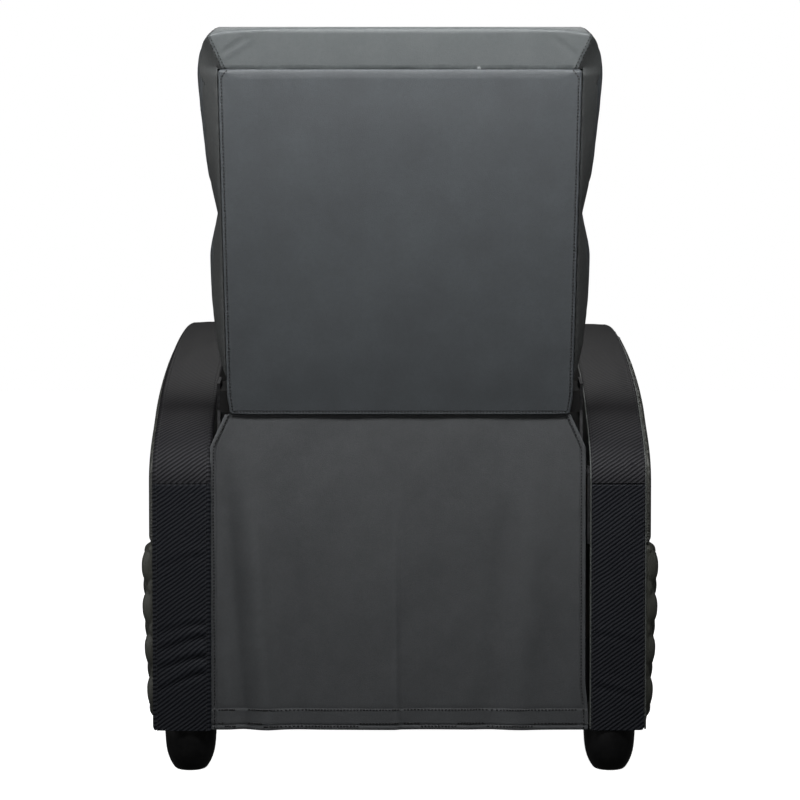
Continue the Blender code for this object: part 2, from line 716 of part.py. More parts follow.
def build_seat_guide(side_name, side):
    """Fixed angle on the side plate that the seat's runner slides on."""
    top = SEAT_FRAME_BOTTOM_Z - RUNNER_THICKNESS - 2 * GAP
    outer = PLATE_OUTER_X - STEEL - GAP
    guide_rear = GUIDE_FRONT_Y + GUIDE_LENGTH
    xs = span(side, GUIDE_INNER_X, outer)
    box(
        f"{side_name}_seat_guide",
        (xs[0], GUIDE_FRONT_Y, top - RUNNER_THICKNESS),
        (xs[1], guide_rear, top),
        METAL,
    )


def sinuous(name, start, end, sideways, mat, parent, inside=False):
    """A zigzag spring of flat bends between two points."""
    start, end, sideways = Vector(start), Vector(end), Vector(sideways)
    steps_a_loop = 6
    count = SPRING_LOOPS * steps_a_loop
    curve = bpy.data.curves.new(name, "CURVE")
    curve.dimensions = "3D"
    curve.bevel_depth = SPRING_WIRE
    curve.bevel_resolution = 0
    curve.use_fill_caps = True
    spline = curve.splines.new("POLY")
    spline.points.add(count)
    for i, point in enumerate(spline.points):
        share = i / count
        swing = math.sin(math.tau * SPRING_LOOPS * share) if 1 < i < count - 1 else 0
        point.co = (*(start.lerp(end, share) + sideways * swing), 1)
    return add(name, curve, mat, (0, 0, 0), (0, 0, 0), parent, inside)


def build_seat(glide):
    frame_top = SEAT_FRAME_BOTTOM_Z + SEAT_FRAME_HEIGHT
    half = SEAT_FRAME_WIDTH / 2
    inner = half - SEAT_RAIL_WIDTH
    front = SEAT_FRAME_FRONT_Y
    rear = SEAT_FRAME_REAR_Y
    for side_name, side in SIDES:
        xs = span(side, inner, half)
        box(
            f"{side_name}_seat_rail",
            (xs[0], front + SEAT_RAIL_WIDTH + GAP, SEAT_FRAME_BOTTOM_Z),
            (xs[1], rear, frame_top),
            WOOD,
            glide,
        )
        xs = span(side, RUNNER_INNER_X, RUNNER_INNER_X + RUNNER_WIDTH)
        top = SEAT_FRAME_BOTTOM_Z - GAP
        box(
            f"{side_name}_seat_runner",
            (xs[0], RUNNER_REAR_Y - RUNNER_LENGTH, top - RUNNER_THICKNESS),
            (xs[1], RUNNER_REAR_Y, top),
            METAL,
            glide,
        )
    rails = (
        ("front_seat_rail", front, SEAT_FRONT_RAIL_WIDTH / 2, LEATHER),
        ("rear_seat_rail", rear - SEAT_RAIL_WIDTH, inner - GAP, WOOD),
    )
    for name, y, reach, mat in rails:
        box(name, (-reach, y, SEAT_FRAME_BOTTOM_Z), (reach, y + SEAT_RAIL_WIDTH, frame_top), mat, glide)
    spring_z = frame_top - SPRING_WIRE - GAP
    for i in (-1, 0, 1):
        x = i * SEAT_SPRING_PITCH
        sinuous(
            f"seat_spring_{i + 2}",
            (x, front + SEAT_RAIL_WIDTH + GAP, spring_z),
            (x, rear - SEAT_RAIL_WIDTH - GAP, spring_z),
            (SPRING_WIDTH / 2, 0, 0),
            SPRING_STEEL,
            glide,
        )
    bottom = frame_top + GAP
    half_width = SEAT_WIDTH / 2
    half_length = (SEAT_REAR_Y - SEAT_FRONT_Y) / 2
    draw = CUSHION_DRAW

    def shape(a, b, c):
        x = a * (half_width - draw * c * c)
        y = b * (half_length - draw * c * c)
        z = (c + 1) / 2 * SEAT_CUSHION_HEIGHT
        if c > 0:
            z += SEAT_CROWN * (1 - a * a) * (1 - b * b)
        return (x, y, z)

    centre_y = (SEAT_FRONT_Y + SEAT_REAR_Y) / 2
    soft("seat_cushion", (6, 6, 2), shape, LEATHER, (0, centre_y, bottom), glide)


def back_half_width(height):
    """Half width of the back's outline at a height along it."""
    share = height / BACK_HEIGHT
    table = BACK_WIDTH_SHARES
    for (h0, w0), (h1, w1) in zip(table, table[1:]):
        if share <= h1:
            t = max(0, (share - h0) / (h1 - h0))
            t = t * t * (3 - 2 * t)
            return BACK_HALF_WIDTH * (w0 + (w1 - w0) * t)
    return BACK_HALF_WIDTH * table[-1][1]


def back_cushion(name, bottom, top, crown, top_round, parent):
    """A front cushion of the back, as wide as the back's outline at each height."""

    def shape(a, b, c):
        height = (bottom + top) / 2 + c * ((top - bottom) / 2 - CUSHION_DRAW * b * b)
        x = a * (back_half_width(height) - CUSHION_DRAW * b * b)
        depth = SHELL_DEPTH + (1 - b) / 2 * (CUSHION_FRONT_DEPTH - SHELL_DEPTH)
        if b < 0:
            depth += crown * (1 - a * a) * (1 - c * c)
            depth -= top_round * c * c
        return (x, -depth, height)

    return soft(name, (6, 2, 6), shape, LEATHER, (0, 0, 0), parent, True)


def build_back(plane):
    """Everything that reclines; places are in the back's own axes."""
    build_rear_panel(plane)
    post_in = FRAME_POST_X - FRAME_POST_WIDTH / 2
    post_out = FRAME_POST_X + FRAME_POST_WIDTH / 2
    for side_name, side in SIDES:
        build_side_band(side_name, side, plane)
        build_back_bracket(side_name, side, plane)
        xs = span(side, post_in, post_out)
        box(
            f"{side_name}_back_post",
            (xs[0], -FRAME_FRONT, FRAME_RAIL_HEIGHT + GAP),
            (xs[1], -FRAME_REAR, FRAME_TOP - FRAME_RAIL_HEIGHT - GAP),
            WOOD,
            plane,
            True,
        )
    wide = layer_x(2) - STEEL / 2 - GAP
    box(
        "back_bottom_rail",
        (-wide, -FRAME_FRONT, 0),
        (wide, -FRAME_REAR, FRAME_RAIL_HEIGHT),
        WOOD,
        plane,
        True,
    )
    box(
        "back_top_rail",
        (-post_out, -FRAME_FRONT, FRAME_TOP - FRAME_RAIL_HEIGHT),
        (post_out, -FRAME_REAR, FRAME_TOP),
        WOOD,
        plane,
        True,
    )
    reach = post_in - GAP
    depth = FRAME_FRONT - SPRING_WIRE - GAP
    for i, height in enumerate(((FRAME_TOP - BACK_SPRING_PITCH) / 2, (FRAME_TOP + BACK_SPRING_PITCH) / 2)):
        sinuous(
            f"back_spring_{i + 1}",
            (-reach, -depth, height),
            (reach, -depth, height),
            (0, 0, SPRING_WIDTH / 2),
            SPRING_STEEL,
            plane,
            True,
        )
    build_top_band(plane)
    back_cushion("lumbar_cushion", LUMBAR_BOTTOM, PINCH_HEIGHT - GAP, LUMBAR_CROWN, 0, plane)
    back_cushion("head_cushion", PINCH_HEIGHT + GAP, BACK_HEIGHT, HEAD_CROWN, CUSHION_DRAW, plane)


def build_rear_panel(plane):
    """The flat leather panel of the back, rounded at its corners and edges."""
    top = REAR_PANEL_TOP_WIDTH / 2
    bottom = REAR_PANEL_BOTTOM_WIDTH / 2
    corners = ((bottom, 0), (top, REAR_PANEL_HEIGHT), (-top, REAR_PANEL_HEIGHT), (-bottom, 0))
    outline = rounded(corners, REAR_PANEL_CORNER)
    curve = flat_curve("rear_panel", outline, (), REAR_PANEL_THICKNESS)
    middle = (0, -REAR_PANEL_THICKNESS / 2, 0)
    panel = add("rear_panel", curve, LEATHER, middle, (math.pi / 2, 0, 0), plane, True)
    bevel(as_mesh(panel), REAR_PANEL_EDGE, 2)


def rounded(corners, radius, steps=3):
    """Cuts each corner of a polygon to a short curve."""
    points = []
    for i, corner in enumerate(corners):
        here = Vector(corner)
        before = (Vector(corners[i - 1]) - here).normalized() * radius
        after = (Vector(corners[(i + 1) % len(corners)]) - here).normalized() * radius
        for k in range(steps + 1):
            t = k / steps
            points.append(tuple(here + before * (1 - t) ** 2 + after * t * t))
    return points


def build_side_band(side_name, side, plane):
    """The leather gusset between the rear panel and the front cushions."""
    bottom = BAND_BOTTOM
    top = REAR_PANEL_HEIGHT - GAP
    front = SHELL_DEPTH - GAP
    rear = REAR_PANEL_THICKNESS + GAP

    def shape(a, b, c):
        height = (bottom + top) / 2 + c * (top - bottom) / 2
        outside = back_half_width(height)
        panel = REAR_PANEL_BOTTOM_WIDTH / 2
        edge = outside - CUSHION_DRAW if b <= 0 else panel
        edge = min(edge, outside)
        x = BAND_INNER_X + (a * side + 1) / 2 * (edge - BAND_INNER_X)
        return (side * x, -(rear + (1 - b) / 2 * (front - rear)), height)

    soft(f"{side_name}_side_band", (1, 2, 8), shape, LEATHER, (0, 0, 0), plane, True)


def build_top_band(plane):
    """The puffy band over the rear panel's top seam."""
    front = SHELL_DEPTH - GAP
    rear = TOP_BAND_REAR
    bottom = TOP_BAND_BOTTOM
    top = BACK_HEIGHT - CUSHION_DRAW / 2

    def shape(a, b, c):
        height = (bottom + top) / 2 + c * (top - bottom) / 2
        depth = rear + (1 - b) / 2 * (front - rear)
        if b > 0 and c > 0:
            depth += CUSHION_DRAW
        x = a * (back_half_width(height) - CUSHION_DRAW * (1 + b) / 2)
        return (x, -depth, height)

    soft("top_band", (8, 2, 2), shape, LEATHER, (0, 0, 0), plane, True)


def build_back_bracket(side_name, side, plane):
    """Steel arm from the hinge pin to the back's bottom rail."""
    place = plane.matrix_world.inverted()
    hinge = place @ Vector((0, HINGE_Y, HINGE_Z))
    mid_depth = (FRAME_FRONT + FRAME_REAR) / 2
    at_hinge = (hinge.y, hinge.z)
    outline = [
        (-mid_depth - BRACKET_HALF_WIDTH, 0),
        (hinge.y - BAR_RADIUS, hinge.z),
        (hinge.y - BAR_RADIUS * math.sin(math.pi / 4), hinge.z - BAR_RADIUS * math.sin(math.pi / 4)),
        (hinge.y, hinge.z - BAR_RADIUS),
        (hinge.y + BAR_RADIUS * math.sin(math.pi / 4), hinge.z - BAR_RADIUS * math.sin(math.pi / 4)),
        (hinge.y + BAR_RADIUS, hinge.z),
        (-mid_depth + BRACKET_HALF_WIDTH, 0),
        (-mid_depth + BRACKET_HALF_WIDTH, BRACKET_TOP),
        (-mid_depth - BRACKET_HALF_WIDTH, BRACKET_TOP),
    ]
    hole = circle(at_hinge, PIN_RADIUS + PIN_CLEARANCE)
    curve = flat_curve(f"{side_name}_back_bracket", outline, [hole], STEEL)
    add(f"{side_name}_back_bracket", curve, METAL, (side * layer_x(2), 0, 0), SIDE_VIEW, plane, True)


def build_flap(hang_from):
    """The hanging rear skirt: narrow at its seam, soft folds, a straight hem."""
    top = FLAP_HINGE_Z + FLAP_TOP_RISE
    height = top - LEG_HEIGHT
    bm = bmesh.new()
    bmesh.ops.create_grid(bm, x_segments=FLAP_COLUMNS, y_segments=FLAP_ROWS, size=1.0)
    for vert in bm.verts:
        across = vert.co.x
        drop = (1 - vert.co.y) / 2 * height
        shoulder = min(1, drop / FLAP_SHOULDER_DROP)
        half = (FLAP_TOP_WIDTH + (FLAP_WIDTH - FLAP_TOP_WIDTH) * shoulder) / 2
        fold = sum(
            depth * math.exp(-(((across - at) / wide) ** 2)) for at, wide, depth in FLAP_FOLD_SHARES
        )
        vert.co = (across * half, -FLAP_FOLD_DEPTH * fold * drop / height, -drop)
    mesh = bpy.data.meshes.new("rear_flap")
    bm.to_mesh(mesh)
    bm.free()
    flap = add("rear_flap", mesh, LEATHER, (FLAP_OFFSET, FLAP_HINGE_Y, top), (0, 0, 0), hang_from)
    solidify = flap.modifiers.new("thickness", "SOLIDIFY")
    solidify.thickness = FLAP_THICKNESS
    solidify.offset = 0
    mesh.shade_smooth()


def cross_tube(name, at, half_length, parent):
    """A round tube across the chair at (y, z)."""
    bm = bmesh.new()
    bmesh.ops.create_cone(
        bm,
        cap_ends=True,
        segments=TUBE_STEPS,
        radius1=TUBE_RADIUS,
        radius2=TUBE_RADIUS,
        depth=2 * half_length,
    )
    mesh = bpy.data.meshes.new(name)
    bm.to_mesh(mesh)
    bm.free()
    obj = add(name, mesh, METAL, (0, *at), (0, math.pi / 2, 0), parent)
    smooth(obj)


def build_footrest(lower, upper, tilt, panel):
    """Crossing links, tilt links, brackets, board and pad."""
    hole = PIN_RADIUS + PIN_CLEARANCE
    for side_name, side in SIDES:
        lower_x = side * layer_x(2)
        link = side_plate(
            f"{side_name}_lower_link",
            capsule(SCISSOR, LOWER_END, BAR_RADIUS),
            lower_x,
            STEEL,
            METAL,
            SCISSOR,
            [circle(SCISSOR, hole), circle(CROSSING, hole)],
            lower,
        )
        add_pin(as_mesh(link), lower_x, side * (layer_x(3) - STEEL / 2), TILT_PIVOT, PIN_RADIUS)
        upper_x = side * layer_x(1)
        link = side_plate(
            f"{side_name}_upper_link",
            capsule(GUIDE_PIN, FOOTREST_HINGE, BAR_RADIUS),
            upper_x,
            STEEL,
            METAL,
            CROSSING,
            (),
            upper,
        )
        link = as_mesh(link)
        add_pin(link, upper_x, side * (layer_x(2) - STEEL / 2), CROSSING, PIN_RADIUS)
        add_pin(link, upper_x, side * (layer_x(4) - STEEL / 2), FOOTREST_HINGE, PIN_RADIUS)
        add_pin(link, upper_x, side * (layer_x(0) + STEEL / 2), GUIDE_PIN, PIN_RADIUS)
        tilt_x = side * layer_x(3)
        link = side_plate(
            f"{side_name}_tilt_link",
            capsule(TILT_PIVOT, BRACKET_PIVOT, TILT_RADIUS),
            tilt_x,
            STEEL,
            METAL,
            TILT_PIVOT,
            [circle(TILT_PIVOT, hole)],
            tilt,
        )
        add_pin(as_mesh(link), tilt_x, side * (layer_x(4) - STEEL / 2), BRACKET_PIVOT, OPEN_PIN_RADIUS)
        build_footrest_bracket(side_name, side, hole, panel)
    cross_tube(
        "lower_cross_tube",
        bar_point(SCISSOR, LOWER_TUBE_REACH, BAR_ANGLE),
        layer_x(2) - STEEL / 2 - GAP,
        lower,
    )
    up_share = UPPER_TUBE_REACH / BAR_LENGTH
    upper_at = Vector(GUIDE_PIN).lerp(Vector(FOOTREST_HINGE), up_share)
    cross_tube("upper_cross_tube", tuple(upper_at), layer_x(1) - STEEL / 2 - GAP, upper)
    board_rear = FOOTREST_HINGE[0] - BOARD_SETBACK
    board_front = board_rear - BOARD_DEPTH
    box(
        "footrest_board",
        (-BOARD_WIDTH / 2, board_front, BOARD_BOTTOM_Z),
        (BOARD_WIDTH / 2, board_rear, BOARD_TOP_Z),
        WOOD,
        panel,
    )
    half_width = FOOT_PAD_WIDTH / 2
    half_height = (FOOT_PAD_TOP_Z - FOOT_PAD_BOTTOM_Z) / 2
    draw = CUSHION_DRAW

    def shape(a, b, c):
        depth = (1 - b) / 2 * FOOT_PAD_DEPTH
        if b < 0:
            depth += FOOT_PAD_CROWN * (1 - a * a) * (1 - c * c)
        return (a * (half_width - draw * b * b), -depth, c * (half_height - draw * b * b))

    centre_z = (FOOT_PAD_TOP_Z + FOOT_PAD_BOTTOM_Z) / 2
    soft("footrest_pad", (6, 2, 4), shape, LEATHER, (0, board_front - GAP, centre_z), panel)


def build_footrest_bracket(side_name, side, hole, panel):
    """Plate from the footrest's hinge to its board, with the wide eye of the open pivot."""
    rear = FOOTREST_HINGE[0] + BRACKET_EDGE
    front = FOOTREST_HINGE[0] - BOARD_SETBACK + GAP
    top = SCISSOR_Z + BRACKET_TOP_EDGE
    mid = BRACKET_PIVOT[1] - BRACKET_EDGE
    outline = [
        (rear, mid),
        (rear, top - BRACKET_EDGE / 2),
        (rear - BRACKET_EDGE / 2, top),
        (front, top),
        (front, BRACKET_FOOT_Z),
        (front + BRACKET_EDGE, BRACKET_FOOT_Z),
    ]
    side_plate(
        f"{side_name}_footrest_bracket",
        outline[::-1],
        side * layer_x(4),
        STEEL,
        METAL,
        FOOTREST_HINGE,
        [circle(FOOTREST_HINGE, hole), circle(BRACKET_PIVOT, OPEN_PIVOT_RADIUS)],
        panel,
    )


def main():
    build_base()
    build_seat(pivot("seat_glide", (0, SEAT_REAR_Y, SEAT_FRAME_BOTTOM_Z)))
    back_hinge = pivot("back_hinge", (0, HINGE_Y, HINGE_Z))
    back_plane = pivot("back_plane", (0, REAR_Y, SEAM_Z), back_hinge)
    back_plane.rotation_euler.x = -BACK_LEAN
    bpy.context.view_layer.update()
    build_back(back_plane)
    build_flap(pivot("flap_hinge", (0, FLAP_HINGE_Y, FLAP_HINGE_Z), back_hinge))
    lower = pivot("footrest_main_pivot", (0, *SCISSOR))
    upper = pivot("link_crossing", (0, *CROSSING), lower)
    tilt = pivot("tilt_link_pivot", (0, *TILT_PIVOT), lower)
    panel = pivot("footrest_hinge", (0, *FOOTREST_HINGE), upper)
    build_footrest(lower, upper, tilt, panel)


main()
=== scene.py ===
# %% [markdown]
# # A gaming recliner, dressed
# The recliner arrives as plain solids that fit and move. Here each one that shows gets its real surface:
# puffy sewn cushions, woven strips, a quilted side, a hanging skirt. We start by loading the solids, in metres.

# %% Load the solids
import math

import bpy
import numpy as np
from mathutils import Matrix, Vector
from mathutils.bvhtree import BVHTree


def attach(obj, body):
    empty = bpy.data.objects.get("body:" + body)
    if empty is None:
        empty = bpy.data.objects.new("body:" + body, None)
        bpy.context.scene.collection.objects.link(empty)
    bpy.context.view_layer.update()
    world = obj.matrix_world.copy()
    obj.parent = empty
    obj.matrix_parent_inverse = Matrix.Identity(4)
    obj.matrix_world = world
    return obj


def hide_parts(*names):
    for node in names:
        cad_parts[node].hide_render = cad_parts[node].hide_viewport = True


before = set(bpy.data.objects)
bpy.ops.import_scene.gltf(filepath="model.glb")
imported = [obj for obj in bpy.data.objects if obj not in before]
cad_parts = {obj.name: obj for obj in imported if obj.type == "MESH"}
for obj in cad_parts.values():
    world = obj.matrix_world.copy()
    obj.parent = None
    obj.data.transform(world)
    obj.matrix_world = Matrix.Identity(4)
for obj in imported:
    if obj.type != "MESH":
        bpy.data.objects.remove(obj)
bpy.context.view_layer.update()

# %% [markdown]
# ## Small tools
# Blender's operators act on whatever is selected, and loading leaves the solids selected. So every step first
# deselects all, then picks its own piece. A finished piece keeps its place in its mesh, not in its object.

# %% Picking and settling a piece
SIDES = (("left", 1), ("right", -1))


def pick(obj):
    if bpy.context.mode != "OBJECT":
        bpy.ops.object.mode_set(mode="OBJECT")
    bpy.ops.object.select_all(action="DESELECT")
    obj.select_set(True)
    bpy.context.view_layer.objects.active = obj
    return obj


def settle(obj):
    pick(obj)
    bpy.ops.object.transform_apply(location=True, rotation=True, scale=True)
    return obj


def apply_all(obj):
    pick(obj)
    for modifier in list(obj.modifiers):
        bpy.ops.object.modifier_apply(modifier=modifier.name)
    return obj


def in_edit(obj, *steps):
    """Runs edit-mode steps on the whole piece."""
    pick(obj)
    bpy.ops.object.mode_set(mode="EDIT")
    bpy.ops.mesh.select_all(action="SELECT")
    for step in steps:
        step()
    bpy.ops.object.mode_set(mode="OBJECT")
    return obj


def outward(obj):
    return in_edit(obj, lambda: bpy.ops.mesh.normals_make_consistent(inside=False))


def smooth(obj, angle=180.0):
    pick(obj)
    if angle >= 180:
        bpy.ops.object.shade_smooth()
    else:
        bpy.ops.object.shade_smooth_by_angle(angle=math.radians(angle))
    return obj


def points(obj):
    found = np.empty(len(obj.data.vertices) * 3)
    obj.data.vertices.foreach_get("co", found)
    return found.reshape(-1, 3)


def set_points(obj, places):
    obj.data.vertices.foreach_set("co", np.ascontiguousarray(places, float).reshape(-1))
    obj.data.update()
    return obj


def ease(value, low, high):
    share = np.clip((value - low) / (high - low), 0, 1)
    return share * share * (3 - 2 * share)


def ridge(value, place, width):
    return np.exp(-(((value - place) / width) ** 2))


# %% [markdown]
# ## Sizes repeated from the solids
# The back leans 12 degrees, so its pieces are easiest to shape in its own axes: across, depth in from the rear
# face, and height along the back. Two small functions go from those axes to the room's and back.

# %% The recliner's own sizes
REAR_Y, FRONT_Y, FOOT_Z = 0.2909, -0.3891, 0.059
SEAM_Z, BACK_HEIGHT, LEAN = 0.493, 0.519, math.radians(12)
ARM_IN, ARM_OUT = 0.2625, 0.337
STRIP_SEAM_Z, STRIP_THICKNESS = 0.398, 0.006


def in_room(across, depth, height):
    across, depth, height = np.broadcast_arrays(across, depth, height)
    y = REAR_Y - depth * math.cos(LEAN) + height * math.sin(LEAN)
    z = SEAM_Z + depth * math.sin(LEAN) + height * math.cos(LEAN)
    return np.stack([across, y, z], -1)


def in_back(places):
    y, z = places[..., 1] - REAR_Y, places[..., 2] - SEAM_Z
    depth = z * math.sin(LEAN) - y * math.cos(LEAN)
    height = y * math.sin(LEAN) + z * math.cos(LEAN)
    return np.stack([places[..., 0], depth, height], -1)


ACROSS = Vector((1, 0, 0))
UPWARD = Vector((in_room(0, 0, 1) - in_room(0, 0, 0)).tolist())
BACKWARD = Vector((in_room(0, 0, 0) - in_room(0, 1, 0)).tolist())

# %% [markdown]
# ## Gentle unevenness
# Leather over foam is never quite flat. A few sine waves with different directions, added together, give a soft
# unevenness that is the same on every run, because no random number is used.

# %% A smooth wavy field
def waves(places, size, seed=0.0):
    """Values of about -1 to 1 that change over size metres."""
    x, y, z = places[..., 0] / size, places[..., 1] / size, places[..., 2] / size
    total = np.zeros(x.shape)
    for k in range(5):
        a = seed * 1.7 + k * 2.4
        total += np.sin(
            (1 + 0.37 * k) * (2.1 * math.cos(a) * x + 2.3 * math.sin(a * 1.3) * y + 2.2 * math.sin(a + 1) * z) + a
        ) / (1 + 0.3 * k)
    return total / 2.4


# %% [markdown]
# ## The camera
# The photograph looks straight at the recliner's back from about 3 m, at 0.6 m over the floor, with a long lens.
# A tilt of 1.7 degrees down puts the horizon where the photograph has it, without any lens shift.

# %% Camera
def add_camera():
    bpy.ops.object.camera_add(
        location=(0.0, 3.2909, 0.603), rotation=(math.radians(90 - 1.707), 0, math.radians(180))
    )
    camera = bpy.context.object
    camera.data.lens = 98.6
    camera.data.sensor_width = 36
    bpy.context.scene.camera = camera
    return camera


camera = add_camera()
print("camera at", [round(v, 3) for v in camera.location])

# %% [markdown]
# ## Finishes
# Leather here is a thin plastic skin with a fine pebble grain. The grain, the cloudy tone and the wear are wanted
# on many pieces, so each is a node group, built once, that hands out plain values. Every material then mixes
# them with its own colours, and its shader stays outside the group.

# %% A helper for node groups
def group(name, inputs, outputs):
    tree = bpy.data.node_groups.new(name, "ShaderNodeTree")
    for label, kind, default in inputs:
        socket = tree.interface.new_socket(label, in_out="INPUT", socket_type=kind)
        if default is not None:
            socket.default_value = default
    for label, kind in outputs:
        tree.interface.new_socket(label, in_out="OUTPUT", socket_type=kind)
    return tree, tree.nodes.new("NodeGroupInput"), tree.nodes.new("NodeGroupOutput")


def node(tree, kind, settings=(), **links):
    """Adds a node. A link is a socket, or else a value for that input. Underscores stand for spaces."""
    made = tree.nodes.new(kind)
    for key, value in dict(settings).items():
        setattr(made, key, value)
    for label, value in links.items():
        key = int(label[1:]) if label[0] == "i" and label[1:].isdigit() else label.replace("_", " ")
        if isinstance(value, bpy.types.NodeSocket):
            tree.links.new(value, made.inputs[key])
        else:
            made.inputs[key].default_value = value
    return made


def maths(tree, operation, a, b=0.0):
    return node(tree, "ShaderNodeMath", {"operation": operation}, i0=a, i1=b).outputs[0]


def remap(tree, value, low, high, to_low=0.0, to_high=1.0):
    return node(
        tree, "ShaderNodeMapRange", i0=value, i1=low, i2=high, i3=to_low, i4=to_high
    ).outputs[0]


def mixed(tree, share, a, b, kind="MIX"):
    made = tree.nodes.new("ShaderNodeMix")
    made.data_type, made.blend_type = "RGBA", kind
    for key, value in ((0, share), (6, a), (7, b)):
        if isinstance(value, bpy.types.NodeSocket):
            tree.links.new(value, made.inputs[key])
        else:
            made.inputs[key].default_value = (*value, 1.0) if key and len(value) == 3 else value
    return made.outputs[2]


# %% Leather grain: pebbles about a millimetre across
def build_grain():
    tree, given, out = group(
        "leather_grain",
        (("Place", "NodeSocketVector", None), ("Pebble Size", "NodeSocketFloat", 0.0012)),
        (("Height", "NodeSocketFloat"), ("Crease", "NodeSocketFloat")),
    )
    scale = maths(tree, "DIVIDE", 1.0, given.outputs["Pebble Size"])
    bent = node(tree, "ShaderNodeTexNoise", Vector=given.outputs["Place"], Scale=90.0, Detail=2.0)
    shift = node(tree, "ShaderNodeVectorMath", {"operation": "SCALE"}, i0=bent.outputs["Color"], Scale=0.002)
    place = node(
        tree, "ShaderNodeVectorMath", {"operation": "ADD"}, i0=given.outputs["Place"], i1=shift.outputs[0]
    ).outputs[0]
    cells = node(
        tree, "ShaderNodeTexVoronoi", {"feature": "DISTANCE_TO_EDGE"}, Vector=place, Scale=scale
    ).outputs["Distance"]
    pebble = remap(tree, cells, 0.0, 0.35)
    fine = node(tree, "ShaderNodeTexNoise", Vector=place, Scale=2600.0, Detail=3.0).outputs[0]
    tree.links.new(maths(tree, "ADD", pebble, maths(tree, "MULTIPLY", fine, 0.35)), out.inputs["Height"])
    tree.links.new(remap(tree, cells, 0.0, 0.12, 1.0, 0.0), out.inputs["Crease"])
    return tree


# %% Clouds: the tone that drifts over a hide
def build_clouds():
    tree, given, out = group(
        "cloudy_tone",
        (("Place", "NodeSocketVector", None), ("Size", "NodeSocketFloat", 0.03)),
        (("Broad", "NodeSocketFloat"), ("Mottle", "NodeSocketFloat")),
    )
    scale = maths(tree, "DIVIDE", 1.0, given.outputs["Size"])
    broad = node(tree, "ShaderNodeTexNoise", Vector=given.outputs["Place"], Scale=scale, Detail=3.0, Roughness=0.6)
    small = node(
        tree,
        "ShaderNodeTexNoise",
        Vector=given.outputs["Place"],
        Scale=maths(tree, "MULTIPLY", scale, 9.0),
        Detail=4.0,
        Roughness=0.7,
    )
    tree.links.new(remap(tree, broad.outputs[0], 0.3, 0.7), out.inputs["Broad"])
    tree.links.new(remap(tree, small.outputs[0], 0.3, 0.7), out.inputs["Mottle"])
    return tree


# %% Rubbed edges: brighter where the surface turns sharply
def build_rubbed():
    tree, given, out = group(
        "rubbed_edges",
        (("Place", "NodeSocketVector", None), ("Reach", "NodeSocketFloat", 0.08)),
        (("Mask", "NodeSocketFloat"),),
    )
    point = node(tree, "ShaderNodeNewGeometry").outputs["Pointiness"]
    edge = node(
        tree,
        "ShaderNodeMapRange",
        i0=point,
        i1=0.5,
        i2=maths(tree, "ADD", 0.5, given.outputs["Reach"]),
    ).outputs[0]
    broken = node(tree, "ShaderNodeTexNoise", Vector=given.outputs["Place"], Scale=160.0, Detail=4.0).outputs[0]
    tree.links.new(maths(tree, "MULTIPLY", edge, remap(tree, broken, 0.25, 0.7)), out.inputs["Mask"])
    return tree


GRAIN, CLOUDS, RUBBED = build_grain(), build_clouds(), build_rubbed()
print("node groups:", [g.name for g in (GRAIN, CLOUDS, RUBBED)])

# %% [markdown]
# ## Leather
# The same recipe serves every leather piece: a base colour, a second colour for the clouds, a darker one in the
# creases of the grain and a lighter one along rubbed edges. The numbers differ from piece to piece.

# %% A new material and the leather recipe
def blank(name):
    made = bpy.data.materials.new(name)
    made.use_nodes = True
    tree = made.node_tree
    tree.nodes.clear()
    shader = tree.nodes.new("ShaderNodeBsdfPrincipled")
    out = tree.nodes.new("ShaderNodeOutputMaterial")
    tree.links.new(shader.outputs[0], out.inputs[0])
    place = tree.nodes.new("ShaderNodeTexCoord").outputs["Object"]
    return made, tree, shader, place


def use_group(tree, which, **links):
    made = tree.nodes.new("ShaderNodeGroup")
    made.node_tree = which
    for label, value in links.items():
        key = label.replace("_", " ")
        if isinstance(value, bpy.types.NodeSocket):
            tree.links.new(value, made.inputs[key])
        else:
            made.inputs[key].default_value = value
    return made


def finish_bump(tree, shader, height, strength, distance):
    bump = node(tree, "ShaderNodeBump", Strength=strength, Distance=distance, Height=height)
    tree.links.new(bump.outputs[0], shader.inputs["Normal"])
    return bump


def rgb(*levels):
    """A screen colour, 0 to 255, as the linear colour that the shader wants."""
    return tuple(((v / 255 + 0.055) / 1.055) ** 2.4 if v > 10 else v / 255 / 12.92 for v in levels)


def leather(name, colour, cloud, roughness, cloud_size=0.03, pebble=0.0012, grain=0.25, mottle=0.35):
    made, tree, shader, place = blank(name)
    tone = use_group(tree, CLOUDS, Place=place, Size=cloud_size)
    skin = use_group(tree, GRAIN, Place=place, Pebble_Size=pebble)
    worn = use_group(tree, RUBBED, Place=place, Reach=0.06)
    base = mixed(tree, tone.outputs["Broad"], colour, cloud)
    base = mixed(tree, maths(tree, "MULTIPLY", tone.outputs["Mottle"], mottle), base, tuple(c * 0.72 for c in colour))
    base = mixed(tree, maths(tree, "MULTIPLY", skin.outputs["Crease"], 0.35), base, tuple(c * 0.45 for c in colour))
    base = mixed(
        tree, maths(tree, "MULTIPLY", worn.outputs["Mask"], 0.45), base, tuple(min(1, c * 2.1 + 0.01) for c in colour)
    )
    tree.links.new(base, shader.inputs["Base Color"])
    rough = remap(tree, tone.outputs["Mottle"], 0.0, 1.0, roughness - 0.06, roughness + 0.07)
    tree.links.new(rough, shader.inputs["Roughness"])
    shader.inputs["Specular IOR Level"].default_value = 0.45
    finish_bump(tree, shader, skin.outputs["Height"], grain, 0.0006)
    return made


